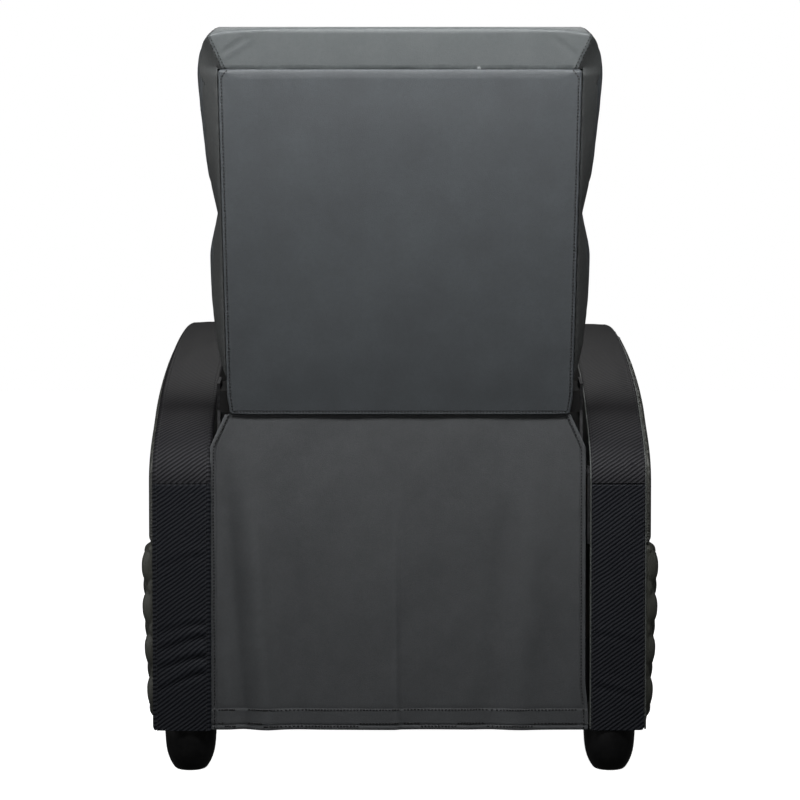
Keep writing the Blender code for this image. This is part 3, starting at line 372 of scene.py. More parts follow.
PANEL_LEATHER = leather("panel_leather", rgb(72, 76, 79), rgb(65, 68, 71), 0.50, 0.05)
BAND_LEATHER = leather("band_leather", rgb(88, 92, 93), rgb(81, 85, 86), 0.48, 0.05)
SKIRT_LEATHER = leather("skirt_leather", rgb(70, 72, 74), rgb(63, 65, 67), 0.60, 0.025, 0.0011, 0.35, 0.45)
GUSSET_LEATHER = leather("gusset_leather", rgb(72, 74, 74), rgb(65, 67, 67), 0.50, 0.05)
ARM_LEATHER = leather("arm_leather", rgb(68, 69, 65), rgb(60, 60, 57), 0.50)
QUILT_LEATHER = leather("quilt_leather", rgb(66, 67, 61), rgb(58, 59, 53), 0.50)
PIPING_LEATHER = leather("piping_leather", rgb(66, 69, 67), rgb(60, 62, 60), 0.42, 0.02)
print("leathers:", PANEL_LEATHER.name, BAND_LEATHER.name, SKIRT_LEATHER.name, ARM_LEATHER.name, QUILT_LEATHER.name)

# %% [markdown]
# ## Thread, piping, plastic, wood and steel
# The hard finishes are simpler, but each still has its own detail: a fine speckle in the moulded feet, plies and grain
# in the boards, powder coat on the steel, a fine speckle on the spring wire.

# %% Thread
def build_thread():
    made, tree, shader, place = blank("thread")
    twist = node(
        tree, "ShaderNodeTexWave", {"bands_direction": "DIAGONAL"}, Vector=place, Scale=420.0, Distortion=1.0
    ).outputs["Fac"]
    base = mixed(tree, twist, rgb(12, 12, 13), rgb(26, 27, 28))
    tree.links.new(base, shader.inputs["Base Color"])
    shader.inputs["Roughness"].default_value = 0.7
    finish_bump(tree, shader, twist, 0.4, 0.0002)
    return made


# %% Moulded plastic
def build_plastic():
    made, tree, shader, place = blank("moulded_plastic")
    speckle = node(tree, "ShaderNodeTexNoise", Vector=place, Scale=1500.0, Detail=2.0).outputs[0]
    scuff = node(tree, "ShaderNodeTexNoise", Vector=place, Scale=40.0, Detail=5.0).outputs[0]
    worn = use_group(tree, RUBBED, Place=place, Reach=0.05)
    base = mixed(tree, remap(tree, scuff, 0.35, 0.7), rgb(11, 11, 12), rgb(16, 16, 17))
    base = mixed(tree, maths(tree, "MULTIPLY", worn.outputs["Mask"], 0.4), base, rgb(45, 45, 45))
    shader.inputs["Specular IOR Level"].default_value = 0.3
    tree.links.new(base, shader.inputs["Base Color"])
    tree.links.new(remap(tree, scuff, 0.3, 0.7, 0.30, 0.42), shader.inputs["Roughness"])
    finish_bump(tree, shader, speckle, 0.10, 0.0003)
    return made


# %% Plywood
def build_plywood(name, light, dark, glue):
    made, tree, shader, place = blank(name)
    long_way = node(tree, "ShaderNodeMapping", Vector=place, Scale=(60.0, 4.0, 60.0)).outputs[0]
    streak = node(tree, "ShaderNodeTexNoise", Vector=long_way, Scale=3.0, Detail=6.0, Roughness=0.65).outputs[0]
    ply = node(
        tree, "ShaderNodeTexWave", {"bands_direction": "X"}, Vector=place, Scale=105.0, Distortion=0.3
    ).outputs["Fac"]
    base = mixed(tree, remap(tree, streak, 0.3, 0.7), light, dark)
    base = mixed(tree, maths(tree, "MULTIPLY", ply, 0.35), base, glue)
    tree.links.new(base, shader.inputs["Base Color"])
    tree.links.new(remap(tree, streak, 0.0, 1.0, 0.60, 0.80), shader.inputs["Roughness"])
    finish_bump(tree, shader, streak, 0.25, 0.0006)
    return made


# %% Powder-coated steel and spring wire
def build_steel(name, dark, light, roughness, metallic, speckle_scale):
    made, tree, shader, place = blank(name)
    speckle = node(tree, "ShaderNodeTexNoise", Vector=place, Scale=speckle_scale, Detail=3.0).outputs[0]
    patch = node(tree, "ShaderNodeTexNoise", Vector=place, Scale=28.0, Detail=4.0).outputs[0]
    worn = use_group(tree, RUBBED, Place=place, Reach=0.05)
    base = mixed(tree, remap(tree, patch, 0.3, 0.7), dark, light)
    base = mixed(tree, maths(tree, "MULTIPLY", worn.outputs["Mask"], 0.5), base, rgb(86, 86, 88))
    tree.links.new(base, shader.inputs["Base Color"])
    shader.inputs["Metallic"].default_value = metallic
    tree.links.new(remap(tree, speckle, 0.3, 0.7, roughness - 0.07, roughness + 0.08), shader.inputs["Roughness"])
    finish_bump(tree, shader, speckle, 0.15, 0.0003)
    return made


THREAD, PLASTIC = build_thread(), build_plastic()
PLYWOOD = build_plywood("plywood_board", rgb(196, 160, 112), rgb(160, 120, 76), rgb(128, 90, 56))
STEEL = build_steel("powder_coated_steel", rgb(22, 22, 23), rgb(31, 31, 32), 0.45, 0.4, 900.0)
WIRE = build_steel("spring_wire", rgb(120, 120, 122), rgb(150, 150, 152), 0.34, 1.0, 1400.0)
print("hard finishes:", THREAD.name, PLASTIC.name, PLYWOOD.name, STEEL.name, WIRE.name)

# %% [markdown]
# ## The twill of the arm strips
# Fine ridges climb to the right at 36 degrees, 4.7 mm apart. They must follow the strip over the arm's top, so
# the pattern reads the strip's own flat map, in metres, and not its place in the room. Below the level seam the
# ridges are crisp and bluish black. Above it they are greyer and fade out as the strip turns over the arm.

# %% Twill node group and its two materials
def build_ridges():
    tree, given, out = group(
        "twill_ridges",
        (("Flat", "NodeSocketVector", None), ("Pitch", "NodeSocketFloat", 0.00473), ("Slope", "NodeSocketFloat", 36.0)),
        (("Height", "NodeSocketFloat"), ("Top", "NodeSocketFloat"), ("Yarn", "NodeSocketFloat")),
    )
    split = node(tree, "ShaderNodeSeparateXYZ", i0=given.outputs["Flat"])
    drift = node(tree, "ShaderNodeTexNoise", Vector=given.outputs["Flat"], Scale=26.0, Detail=2.0).outputs[0]
    drift = maths(tree, "MULTIPLY", maths(tree, "SUBTRACT", drift, 0.5), 0.0035)
    angle = maths(tree, "RADIANS", given.outputs["Slope"])
    along = maths(tree, "MULTIPLY", split.outputs[0], maths(tree, "SINE", angle))
    up = maths(tree, "MULTIPLY", split.outputs[1], maths(tree, "COSINE", angle))
    line = maths(tree, "ADD", maths(tree, "SUBTRACT", up, along), drift)
    turn = maths(tree, "MULTIPLY", maths(tree, "DIVIDE", line, given.outputs["Pitch"]), math.tau)
    wave = maths(tree, "ADD", maths(tree, "MULTIPLY", maths(tree, "SINE", turn), 0.5), 0.5)
    across = maths(tree, "ADD", maths(tree, "MULTIPLY", split.outputs[0], 0.81), maths(tree, "MULTIPLY", split.outputs[1], 0.59))
    yarn = maths(tree, "SINE", maths(tree, "MULTIPLY", across, math.tau / 0.0011))
    yarn = maths(tree, "ADD", maths(tree, "MULTIPLY", yarn, 0.5), 0.5)
    height = maths(tree, "ADD", maths(tree, "POWER", wave, 0.7), maths(tree, "MULTIPLY", yarn, 0.14))
    tree.links.new(height, out.inputs["Height"])
    tree.links.new(maths(tree, "POWER", wave, 1.6), out.inputs["Top"])
    tree.links.new(yarn, out.inputs["Yarn"])
    return tree


def twill(name, valley, crest, plain, fade_from, fade_to, strength):
    """Between fade_from and fade_to, heights on the strip's map, the ridges melt into a plain tone."""
    made, tree, shader, place = blank(name)
    flat = node(tree, "ShaderNodeUVMap", {"uv_map": "strip_map"}).outputs[0]
    ridges = use_group(tree, RIDGES, Flat=flat)
    tone = use_group(tree, CLOUDS, Place=place, Size=0.02)
    height = node(tree, "ShaderNodeSeparateXYZ", i0=flat).outputs[1]
    kept = remap(tree, height, fade_from, fade_to, 1.0, 0.12)
    base = mixed(tree, ridges.outputs["Top"], valley, crest)
    base = mixed(tree, maths(tree, "MULTIPLY", tone.outputs["Mottle"], 0.3), base, tuple(c * 0.6 for c in valley))
    base = mixed(tree, kept, plain, base)
    tree.links.new(base, shader.inputs["Base Color"])
    tree.links.new(remap(tree, ridges.outputs["Top"], 0.0, 1.0, 0.62, 0.46), shader.inputs["Roughness"])
    shader.inputs["Specular IOR Level"].default_value = 0.16
    lifted = maths(tree, "MULTIPLY", ridges.outputs["Height"], kept)
    finish_bump(tree, shader, lifted, strength, 0.0012)
    return made


RIDGES = build_ridges()
TWILL_LOW = twill("twill_lower", rgb(14, 16, 22), rgb(40, 42, 47), rgb(32, 34, 38), 9.0, 10.0, 0.55)
TWILL_TOP = twill("twill_upper", rgb(19, 19, 22), rgb(53, 53, 57), rgb(20, 19, 21), 0.03, 0.13, 0.5)
print("twills:", TWILL_LOW.name, TWILL_TOP.name)

# %% [markdown]
# ## Grids laid out
# Flat covers and the strips start as a grid, whose rows and columns are closer together where a seam or a rolled
# edge needs them. Each vertex is then lifted or sunk by its distance from the edge, as a thumb would press it.

# %% Uneven rows, and a grid that has them
def rows_of(length, fine=0.001, border=0.016, coarse=0.004):
    """Places from 0 to length, fine near both ends."""
    edge = np.arange(0, border, fine)
    count = max(2, round((length - 2 * border) / coarse))
    middle = np.linspace(border, length - border, count + 1)
    return np.concatenate([edge, middle, (length - edge)[::-1]])


def lay_grid(name, across, along, flip=1):
    """A grid piece with a map of (across, along) in metres, or of (-across, along). Returns each vertex's pair too."""
    pick(camera)
    bpy.ops.mesh.primitive_grid_add(
        x_subdivisions=len(across) - 1, y_subdivisions=len(along) - 1, size=1, calc_uvs=True
    )
    obj = bpy.context.object
    obj.name = obj.data.name = name
    raw = points(obj)
    column = np.round((raw[:, 0] + 0.5) * (len(across) - 1)).astype(int)
    row = np.round((raw[:, 1] + 0.5) * (len(along) - 1)).astype(int)
    pair = np.stack([np.asarray(across)[column], np.asarray(along)[row]], -1)
    layer = obj.data.uv_layers[0]
    layer.name = "strip_map"
    corner = np.empty(len(obj.data.loops), int)
    obj.data.loops.foreach_get("vertex_index", corner)
    layer.data.foreach_set("uv", (pair[corner] * (flip, 1)).reshape(-1))
    return obj, pair


def edge_distance(x, z, half_x, low, high, corner):
    """How far inside a rectangle with round corners each point is."""
    mid, half_z = (low + high) / 2, (high - low) / 2
    qx, qz = np.abs(x) - (half_x - corner), np.abs(z - mid) - (half_z - corner)
    outside = np.hypot(np.maximum(qx, 0), np.maximum(qz, 0))
    return corner - outside - np.minimum(np.maximum(qx, qz), 0)


def round_corners(x, z, half_x, low, high, corner):
    """Moves a grid's square corners on to round ones."""
    mid, half_z = (low + high) / 2, (high - low) / 2
    qx, qz = np.abs(x) - (half_x - corner), np.abs(z - mid) - (half_z - corner)
    both = (qx > 0) & (qz > 0)
    sx, sz = np.clip(qx / corner, 0, 1), np.clip(qz / corner, 0, 1)
    new_x = np.where(both, qx * np.sqrt(1 - sz * sz / 2), qx)
    new_z = np.where(both, qz * np.sqrt(1 - sx * sx / 2), qz)
    return np.sign(x) * (half_x - corner + new_x), mid + np.sign(z - mid) * (half_z - corner + new_z)


def close_behind(obj, back_places):
    """Extrudes the open border to back_places(points) and fills it."""
    count = len(obj.data.vertices)
    in_edit(
        obj,
        bpy.ops.mesh.region_to_loop,
        lambda: bpy.ops.mesh.extrude_edges_move(TRANSFORM_OT_translate={"value": (0, 0, 0)}),
        bpy.ops.mesh.edge_face_add,
    )
    places = points(obj)
    places[count:] = back_places(places[count:])
    set_points(obj, places)
    return outward(obj)


# %% [markdown]
# ## Thread stitches
# One stitch is modelled as a short bead, and copied along a line every 4.5 mm. Each copy is laid on the nearest
# spot of the piece and turned with the seam, and a whole seam's copies are one mesh.

# %% One stitch, and a seam of them
def build_stitch():
    pick(camera)
    bpy.ops.mesh.primitive_cylinder_add(vertices=5, radius=0.0005, depth=0.0034, rotation=(0, math.pi / 2, 0))
    obj = settle(bpy.context.object)
    in_edit(
        obj,
        lambda: bpy.ops.mesh.bisect(plane_co=(-0.0009, 0, 0), plane_no=(1, 0, 0)),
        lambda: bpy.ops.mesh.select_all(action="SELECT"),
        lambda: bpy.ops.mesh.bisect(plane_co=(0.0009, 0, 0), plane_no=(1, 0, 0)),
    )
    places = points(obj)
    ends = np.abs(places[:, 0]) > 0.0015
    places[ends, 1:] *= 0.35
    places[ends, 2] -= 0.0004
    set_points(obj, places)
    faces = [tuple(p.vertices) for p in obj.data.polygons]
    bpy.data.objects.remove(obj)
    return places, faces


STITCH_PLACES, STITCH_FACES = build_stitch()


def resample(line, pitch):
    line = np.asarray(line, float)
    step = np.linalg.norm(np.diff(line, axis=0), axis=1)
    run = np.concatenate([[0], np.cumsum(step)])
    wanted = np.linspace(0, run[-1], max(2, round(run[-1] / pitch) + 1))
    return np.stack([np.interp(wanted, run, line[:, k]) for k in range(3)], -1)


def surface_of(obj):
    mesh = obj.data
    return BVHTree.FromPolygons([v.co for v in mesh.vertices], [tuple(p.vertices) for p in mesh.polygons])


def sew(name, obj, lines, body, pitch=0.0045, sink=0.0001, width=1.0):
    """Stitches along each line, laid on obj's surface."""
    tree = surface_of(obj)
    places, faces, count = [], [], 0
    for line in lines:
        spots = resample(line, pitch)
        hits = [tree.find_nearest(Vector(p)) for p in spots]
        laid = np.array([h[0] for h in hits])
        normals = np.array([h[1] for h in hits])
        along = np.gradient(laid, axis=0)
        along /= np.linalg.norm(along, axis=1, keepdims=True) + 1e-12
        side = np.cross(normals, along)
        side /= np.linalg.norm(side, axis=1, keepdims=True) + 1e-12
        up = np.cross(along, side)
        for at, a, s, u in zip(laid, along, side, up):
            shape = STITCH_PLACES * (1, width, width)
            places.append(at - u * sink + shape[:, :1] * a + shape[:, 1:2] * s + shape[:, 2:] * u)
            base = count * len(STITCH_PLACES)
            faces += [tuple(base + v for v in f) for f in STITCH_FACES]
            count += 1
    mesh = bpy.data.meshes.new(name)
    mesh.from_pydata(np.concatenate(places).tolist(), [], faces)
    made = bpy.data.objects.new(name, mesh)
    bpy.context.scene.collection.objects.link(made)
    outward(made)
    smooth(made)
    dress(made, THREAD, body, None)
    print(name, "stitches:", count)
    return made


def dress(obj, material, body, slot_name, *replaced):
    obj.data.materials.clear()
    obj.data.materials.append(material)
    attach(obj, body)
    if replaced:
        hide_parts(*replaced)
    return obj


# %% [markdown]
# ## Piping
# A cord covered in leather runs along many seams. It is a curve with a round bevel, turned into a mesh.

# %% Piping along a line
def pipe(name, line, radius, material, body, slot_name="grey_leather", closed=False):
    pick(camera)
    bpy.ops.curve.primitive_nurbs_path_add()
    obj = bpy.context.object
    obj.name = name
    curve = obj.data
    curve.splines.clear()
    spline = curve.splines.new("POLY")
    line = resample(line, 0.006)
    if closed:
        line = line[:-1]
    spline.points.add(len(line) - 1)
    spline.points.foreach_set("co", np.concatenate([line, np.ones((len(line), 1))], 1).reshape(-1))
    spline.use_cyclic_u = closed
    curve.dimensions = "3D"
    curve.bevel_depth, curve.bevel_resolution, curve.use_fill_caps = radius, 2, True
    pick(obj)
    bpy.ops.object.convert(target="MESH")
    obj = bpy.context.object
    settle(obj)
    outward(obj)
    smooth(obj)
    return dress(obj, material, body, slot_name)


# %% [markdown]
# ## Pillows by simulation
# A cushion is a cover with stuffing that pushes out. We copy its solid, rebuild it as an even net of faces, draw
# it in a little, and let Blender's cloth blow it up. How far a point may move is capped, and the points are then
# kept inside the space that the solid holds, so that the cushion stays flat where it rests on something.

# %% The pillow recipe
def copy_of(name, *nodes, extra=()):
    copies = list(extra)
    for source in nodes:
        obj = bpy.data.objects.new(name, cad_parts[source].data.copy())
        bpy.context.scene.collection.objects.link(obj)
        copies.append(obj)
    pick(copies[0])
    for other in copies[1:]:
        other.select_set(True)
    if len(copies) > 1:
        bpy.ops.object.join()
    obj = copies[0]
    obj.name = obj.data.name = name
    obj.data.materials.clear()
    return in_edit(obj, lambda: bpy.ops.mesh.remove_doubles(threshold=0.00002))


def even_net(obj, voxel):
    remesh = obj.modifiers.new("net", "REMESH")
    remesh.mode, remesh.voxel_size = "VOXEL", voxel
    return apply_all(obj)


def normals_of(obj):
    found = np.empty(len(obj.data.vertices) * 3)
    obj.data.vertices.foreach_get("normal", found)
    return found.reshape(-1, 3)


def pillow(
    name, nodes, voxel=0.006, start=0.985, cap=0.024, pressure=4.0, keep=None, subdivide=True, cap_in=0.003, extra=(),
):
    """keep(points) returns the points pushed back inside the piece's own space."""
    obj = even_net(copy_of(name, *nodes, extra=extra), voxel)
    places = points(obj)
    middle = (places.min(0) + places.max(0)) / 2
    places = middle + (places - middle) * np.asarray(start)
    set_points(obj, keep(places) if keep else places)
    cloth = obj.modifiers.new("stuffing", "CLOTH")
    setting = cloth.settings
    setting.effector_weights.gravity = 0
    setting.use_pressure, setting.uniform_pressure_force = True, pressure
    setting.quality, setting.mass = 5, 0.3
    setting.tension_stiffness = setting.compression_stiffness = 15
    setting.bending_stiffness = 0.5
    setting.tension_damping = setting.compression_damping = 10
    cloth.point_cache.frame_start, cloth.point_cache.frame_end = 1, 20
    rest = points(obj)
    for number in range(1, 21):
        bpy.context.scene.frame_set(number)
    shown = obj.evaluated_get(bpy.context.evaluated_depsgraph_get()).data
    moved = np.empty(len(rest) * 3)
    shown.vertices.foreach_get("co", moved)
    obj.modifiers.clear()
    bpy.context.scene.frame_set(1)
    push = moved.reshape(-1, 3) - rest
    out = (push * normals_of(obj)).sum(1, keepdims=True)
    slide = push - out * normals_of(obj)
    far = np.linalg.norm(slide, axis=1, keepdims=True)
    slide *= np.minimum(1, 0.006 / np.maximum(far, 1e-9))
    held = np.where(out > 0, cap * np.tanh(out / cap), cap_in * np.tanh(out / cap_in))
    set_points(obj, rest + slide + held * normals_of(obj))
    print(name, "points:", len(rest), "pushed out by at most", round(float(out.max()) * 1000, 1), "mm")
    if keep:
        set_points(obj, keep(points(obj)))
    if subdivide:
        net = obj.modifiers.new("finer", "SUBSURF")
        net.levels = net.render_levels = 1
        apply_all(obj)
        if keep:
            set_points(obj, keep(points(obj)))
    return smooth(obj)


def press_seam(obj, line, depth=0.003, width=0.006):
    """Draws the surface in along a line, as the seam's thread does."""
    spots = resample(line, 0.003)
    places, normals = points(obj), normals_of(obj)
    low, high = spots.min(0) - 4 * width, spots.max(0) + 4 * width
    near = np.where(((places > low) & (places < high)).all(1))[0]
    nearest = np.full(len(near), 1e9)
    for part in np.array_split(spots, max(1, len(spots) // 60)):
        gap = np.linalg.norm(places[near][:, None] - part[None], axis=2).min(1)
        nearest = np.minimum(nearest, gap)
    places[near] -= normals[near] * (depth * np.exp(-((nearest / width) ** 2)))[:, None]
    return set_points(obj, places)


# %% [markdown]
# ## The back's rear cover
# One flat piece of leather over foam. Its edge is rolled round a 5 mm radius, a stitch line runs 4.5 mm in from
# the edge, and the middle is very slightly crowned. The bottom edge ends in the seam that the skirt hangs from.

# %% Rear cover
PANEL_LOW, PANEL_HIGH = 0.0, 0.470
PANEL_FOOT, PANEL_HEAD = 0.473, 0.482


def panel_half(height):
    taper = (PANEL_FOOT + (PANEL_HEAD - PANEL_FOOT) * height / PANEL_HIGH) / 2
    return taper - 0.0030 * (1 - ease(height, 0.0, 0.03))


def build_rear_cover():
    width = PANEL_FOOT
    obj, pair = lay_grid("back_rear_cover", rows_of(width), rows_of(PANEL_HIGH))
    x, z = round_corners(pair[:, 0] - width / 2, pair[:, 1], width / 2, 0, PANEL_HIGH, 0.005)
    inset = edge_distance(x, z, width / 2, 0, PANEL_HIGH, 0.005)
    x = x * panel_half(z) / (width / 2)
    within = ease(width / 2 - np.abs(x), 0.0, 0.03)
    near_top, near_low = ease(z, PANEL_HIGH - 0.030, PANEL_HIGH - 0.006) * within, (1 - ease(z, 0.006, 0.030)) * within
    bent = np.clip(1 - inset / (0.0042 + 0.0110 * near_top - 0.0022 * near_low), 0, 1)
    depth = (0.0042 - 0.0024 * near_low - 0.0008 * near_top) * (1 - np.sqrt(np.clip(1 - bent**2, 0, 1)))
    below_top = 1 - ease(z, PANEL_HIGH - 0.012, PANEL_HIGH - 0.006)
    depth += 0.0008 * ridge(inset, 0.0045, 0.0009) * below_top
    depth -= 0.0012 * ease(inset, 0.006, 0.09)
    at = in_room(x, depth, z)
    pucker = np.sin(np.where(np.abs(np.abs(x) - panel_half(z)) < inset + 0.001, z, x) * math.tau / 0.013 + 2 * waves(at, 0.05))
    depth -= 0.00012 * pucker * ridge(inset, 0.0085, 0.005) * below_top
    depth -= 0.0005 * waves(at, 0.10, 2) * ease(inset, 0.01, 0.05)
    set_points(obj, in_room(x, depth, z))
    close_behind(obj, lambda edge: in_room(in_back(edge)[:, 0] * 0.997, 0.0178, in_back(edge)[:, 2]))
    smooth(obj, 60)
    return dress(obj, PANEL_LEATHER, "back", "grey_leather", "rear_panel")


rear_cover = build_rear_cover()


def panel_line(inset):
    """A line inside the cover's edge, up both sides and under the bottom. It turns in at the top corners."""
    half, high = PANEL_FOOT / 2 - inset, PANEL_HIGH - 0.0012
    across = np.array([0.0070 - half, -half, -half, 0.0035 - half, half - 0.0035, half, half, half - 0.0070])
    height = np.array([high, high - 0.0095, inset + 0.0035, inset, inset, inset + 0.0035, high - 0.0095, high])
    fine = np.linspace(0, 7, 141)
    across, height = np.interp(fine, np.arange(8), across), np.interp(fine, np.arange(8), height)
    return in_room(across * panel_half(height) / (PANEL_FOOT / 2), 0.0, height)


rear_cover_stitches = sew("rear_cover_stitches", rear_cover, [panel_line(0.0045)], "back", sink=-0.0002, width=1.9)
print("rear cover faces:", len(rear_cover.data.polygons))

# %% [markdown]
# ## Top band and side gussets
# Round the edge of the back runs a puffy band, sewn from three pieces: one over the top and one down each side.
# They are blown up from their solids. Depth stays behind the cushions, which start 75.5 mm in.

# %% Top band and gussets
def keep_in_back(low_depth=None, high_depth=None, low=None, high=None, inner_x=None):
    def keep(places):
        at = in_back(places)
        at[:, 1] = np.clip(at[:, 1], low_depth, high_depth)
        at[:, 2] = np.clip(at[:, 2], low, high)
        if inner_x is not None:
            at[:, 0] = np.where(at[:, 0] >= 0, np.maximum(at[:, 0], inner_x), np.minimum(at[:, 0], -inner_x))
        return in_room(at[:, 0], at[:, 1], at[:, 2])

    return keep


CORNER_SEAM = ((0.2345, 0.470), (0.2558, 0.516))  # (across, height) along the back's corner


BACK_OUTLINE = (
    (-0.052, 0.2473), (0.0415, 0.2473), (0.088, 0.2603), (0.135, 0.2662), (0.2076, 0.2679), (0.273, 0.2530),
    (0.311, 0.2673), (0.384, 0.2745), (0.4515, 0.2805), (0.4827, 0.2795), (0.530, 0.2780),
)
BAND_OUTLINE = (
    (-0.052, 0.2405), (0.0415, 0.2425), (0.088, 0.2525), (0.135, 0.2570), (0.2076, 0.2566), (0.250, 0.2524),
    (0.273, 0.2475), (0.310, 0.2555), (0.350, 0.2610), (0.400, 0.2650), (0.430, 0.2678), (0.460, 0.2690), (0.530, 0.2670),
)


def round_top(x, high, from_x, from_high, wide, tall):
    """Draws points of the back's upper corner in to an ellipse."""
    dx, dh = np.maximum(x - from_x, 0), np.maximum(high - from_high, 0)
    pull = np.where((dx > 0) & (dh > 0), 1 / np.maximum(np.hypot(dx / wide, dh / tall), 1), 1)
    return np.where(dx > 0, from_x + dx * pull, x), np.where(dh > 0, from_high + dh * pull, high)


def rear_face(x, high):
    """Depth of the band's rear face: flat over the top, and falling away past the seams and round the sides."""
    start = panel_half(high) + 0.0008
    start += (0.2345 + 0.463 * np.maximum(high - 0.470, 0) - start) * ease(high, 0.460, 0.474)
    share = np.clip((x - start) / (np.interp(high, *np.array(BAND_OUTLINE).T) - start), 0, 1)
    top = np.clip((high - 0.5185) / 0.007, 0, 1)
    return 0.0016 + 0.0022 * ease(share, 0, 0.06) + 0.035 * share**1.15 + 0.007 * (1 - np.sqrt(1 - top * top * 0.999))


def hollow_corners(places):
    """Keeps the band in its space. Its corners are round, and under the cover it stays behind it."""
    at = in_back(places)
    x, high = np.abs(at[:, 0]), at[:, 2]
    under_cover = (high < 0.4700) & (x < panel_half(high) + 0.0004)
    depth = np.clip(at[:, 1], np.where(under_cover, 0.0181, rear_face(x, high)), 0.0753)
    x, high = round_top(np.minimum(x, np.interp(high, *np.array(BAND_OUTLINE).T)), high, 0.2265, 0.481, 0.0405, 0.0445)
    high = np.clip(high, 0.035, 0.5256 - 0.0705 * depth)
    x = np.where(high < 0.4695, np.maximum(x, 0.2001), x)
    return in_room(np.where(at[:, 0] >= 0, x, -x), depth, high)


def wadding(side):
    """A block that closes the slit between the top band's solid and a side band's."""
    bpy.ops.mesh.primitive_cube_add()
    block = bpy.context.object
    corner = (points(block) + 1) / 2
    height = 0.455 + 0.027 * corner[:, 2]
    x = 0.215 + (np.interp(height, *np.array(BAND_OUTLINE).T) - 0.0035 - 0.215) * corner[:, 0]
    depth = np.where(corner[:, 1] < 0.5, np.maximum(0.0197, rear_face(x, height) + 0.002), 0.0725)
    return outward(set_points(block, in_room(side * x, depth, height)))


def shape_rear(obj):
    """Lifts the band's top a little, and lays every point that faces the rear on the rear face."""
    at, facing = in_back(points(obj)), normals_of(obj)
    to_rear, to_floor = facing @ np.array(BACKWARD), -(facing @ np.array(UPWARD))
    at[:, 2] += 0.0085 * ease(at[:, 2], 0.490, 0.512) * ease(at[:, 1], -0.004, 0.026)
    x, high = np.abs(at[:, 0]), at[:, 2]
    ledge = (to_floor > 0.3) & (x < 0.2415) & (at[:, 1] < 0.016) & (np.abs(high - 0.4705) < 0.004)
    at[ledge, 2] = 0.4706
    under = (high < 0.4690) & (x < panel_half(high) + 0.0002)
    beside = (high < 0.4690) & ~under & (x < panel_half(high) + 0.0030) & (to_rear > 0.1)
    at[beside, 0] = (np.sign(at[:, 0]) * (panel_half(high) + 0.0007))[beside]
    x = np.abs(at[:, 0])
    share = ease(to_rear, 0.10, 0.45)
    share = np.where((np.abs(high - 0.4680) < 0.021) & (x > 0.2418) & (at[:, 1] < 0.028), 1, share) * ~under
    wanted = rear_face(x, high) + 0.0016 * (1 - ease(at[:, 2], 0.4706, 0.4745)) * (x < 0.2415)
    wanted += (0.0004 + 0.0009 * (x > 0.2418)) * waves(points(obj), 0.045, 6)
    at[:, 1] += (wanted - at[:, 1]) * share
    set_points(obj, in_room(at[:, 0], at[:, 1], at[:, 2]))
    return in_edit(obj, lambda: bpy.ops.mesh.remove_doubles(threshold=0.0003))


def corner_line(side, shift):
    """The corner seam, up the rear face and forward over the top."""
    (x0, h0), (x1, h1) = CORNER_SEAM
    up = [(x0 + (x1 - x0) * t + shift, 0.0 + 0.004 * max(0, t - 0.75) * 4, h0 + (h1 - h0) * t) for t in np.linspace(0.02, 0.96, 12)]
    over = [(x1 + shift, d, 0.527) for d in np.linspace(0.010, 0.074, 10)]
    return in_room(*(np.array(up + over).T * np.array([[side], [1], [1]])))


def build_band():
    blocks = [wadding(side) for _, side in SIDES]
    whole = pillow(
        "back_band", ["top_band", "left_side_band", "right_side_band"], 0.0045, (1.02, 1.0, 1.0), 0.007, 4,
        hollow_corners, False, extra=blocks,
    )
    soften = whole.modifiers.new("soften", "SMOOTH")
    soften.factor, soften.iterations = 0.5, 6
    apply_all(whole)
    finer = whole.modifiers.new("finer", "SUBSURF")
    finer.levels = finer.render_levels = 1
    apply_all(whole)
    shape_rear(whole)
    set_points(whole, hollow_corners(points(whole)))
    at = in_back(points(whole))
    top_edge = whole.vertex_groups.new(name="top edge")
    top_edge.add(np.where((at[:, 2] > 0.507) & (at[:, 1] < 0.030))[0].tolist(), 1.0, "REPLACE")
    soften = whole.modifiers.new("soften", "SMOOTH")
    soften.factor, soften.iterations, soften.vertex_group = 0.5, 8, "top edge"
    apply_all(whole)
    whole.vertex_groups.clear()
    for _, side in SIDES:
        press_seam(whole, corner_line(side, 0.0), 0.0024, 0.0028)
    for side, start, end, size in (
        (1, (0.228, 0.496), (0.206, 0.510), 0.0005),
        (1, (0.226, 0.482), (0.196, 0.500), 0.0003),
        (-1, (0.228, 0.492), (0.204, 0.510), 0.0004),
    ):
        t = np.linspace(0, 1, 12)
        line = in_room(side * (start[0] + (end[0] - start[0]) * t), 0.001, start[1] + (end[1] - start[1]) * t)
        press_seam(whole, line, size, 0.005)
        press_seam(whole, line + np.array([0.007 * side, 0, 0.003]), -size * 0.6, 0.005)
    return whole


def cut_away(obj, at, normal):
    """Bisects a copy, keeps the part on the far side of the plane, and closes the cut."""
    return in_edit(
        obj,
        lambda: bpy.ops.mesh.bisect(plane_co=at, plane_no=normal, use_fill=True, clear_inner=True),
    )


def twin(obj, name):
    other = obj.copy()
    other.data = obj.data.copy()
    other.name = other.data.name = name
    bpy.context.scene.collection.objects.link(other)
    return other


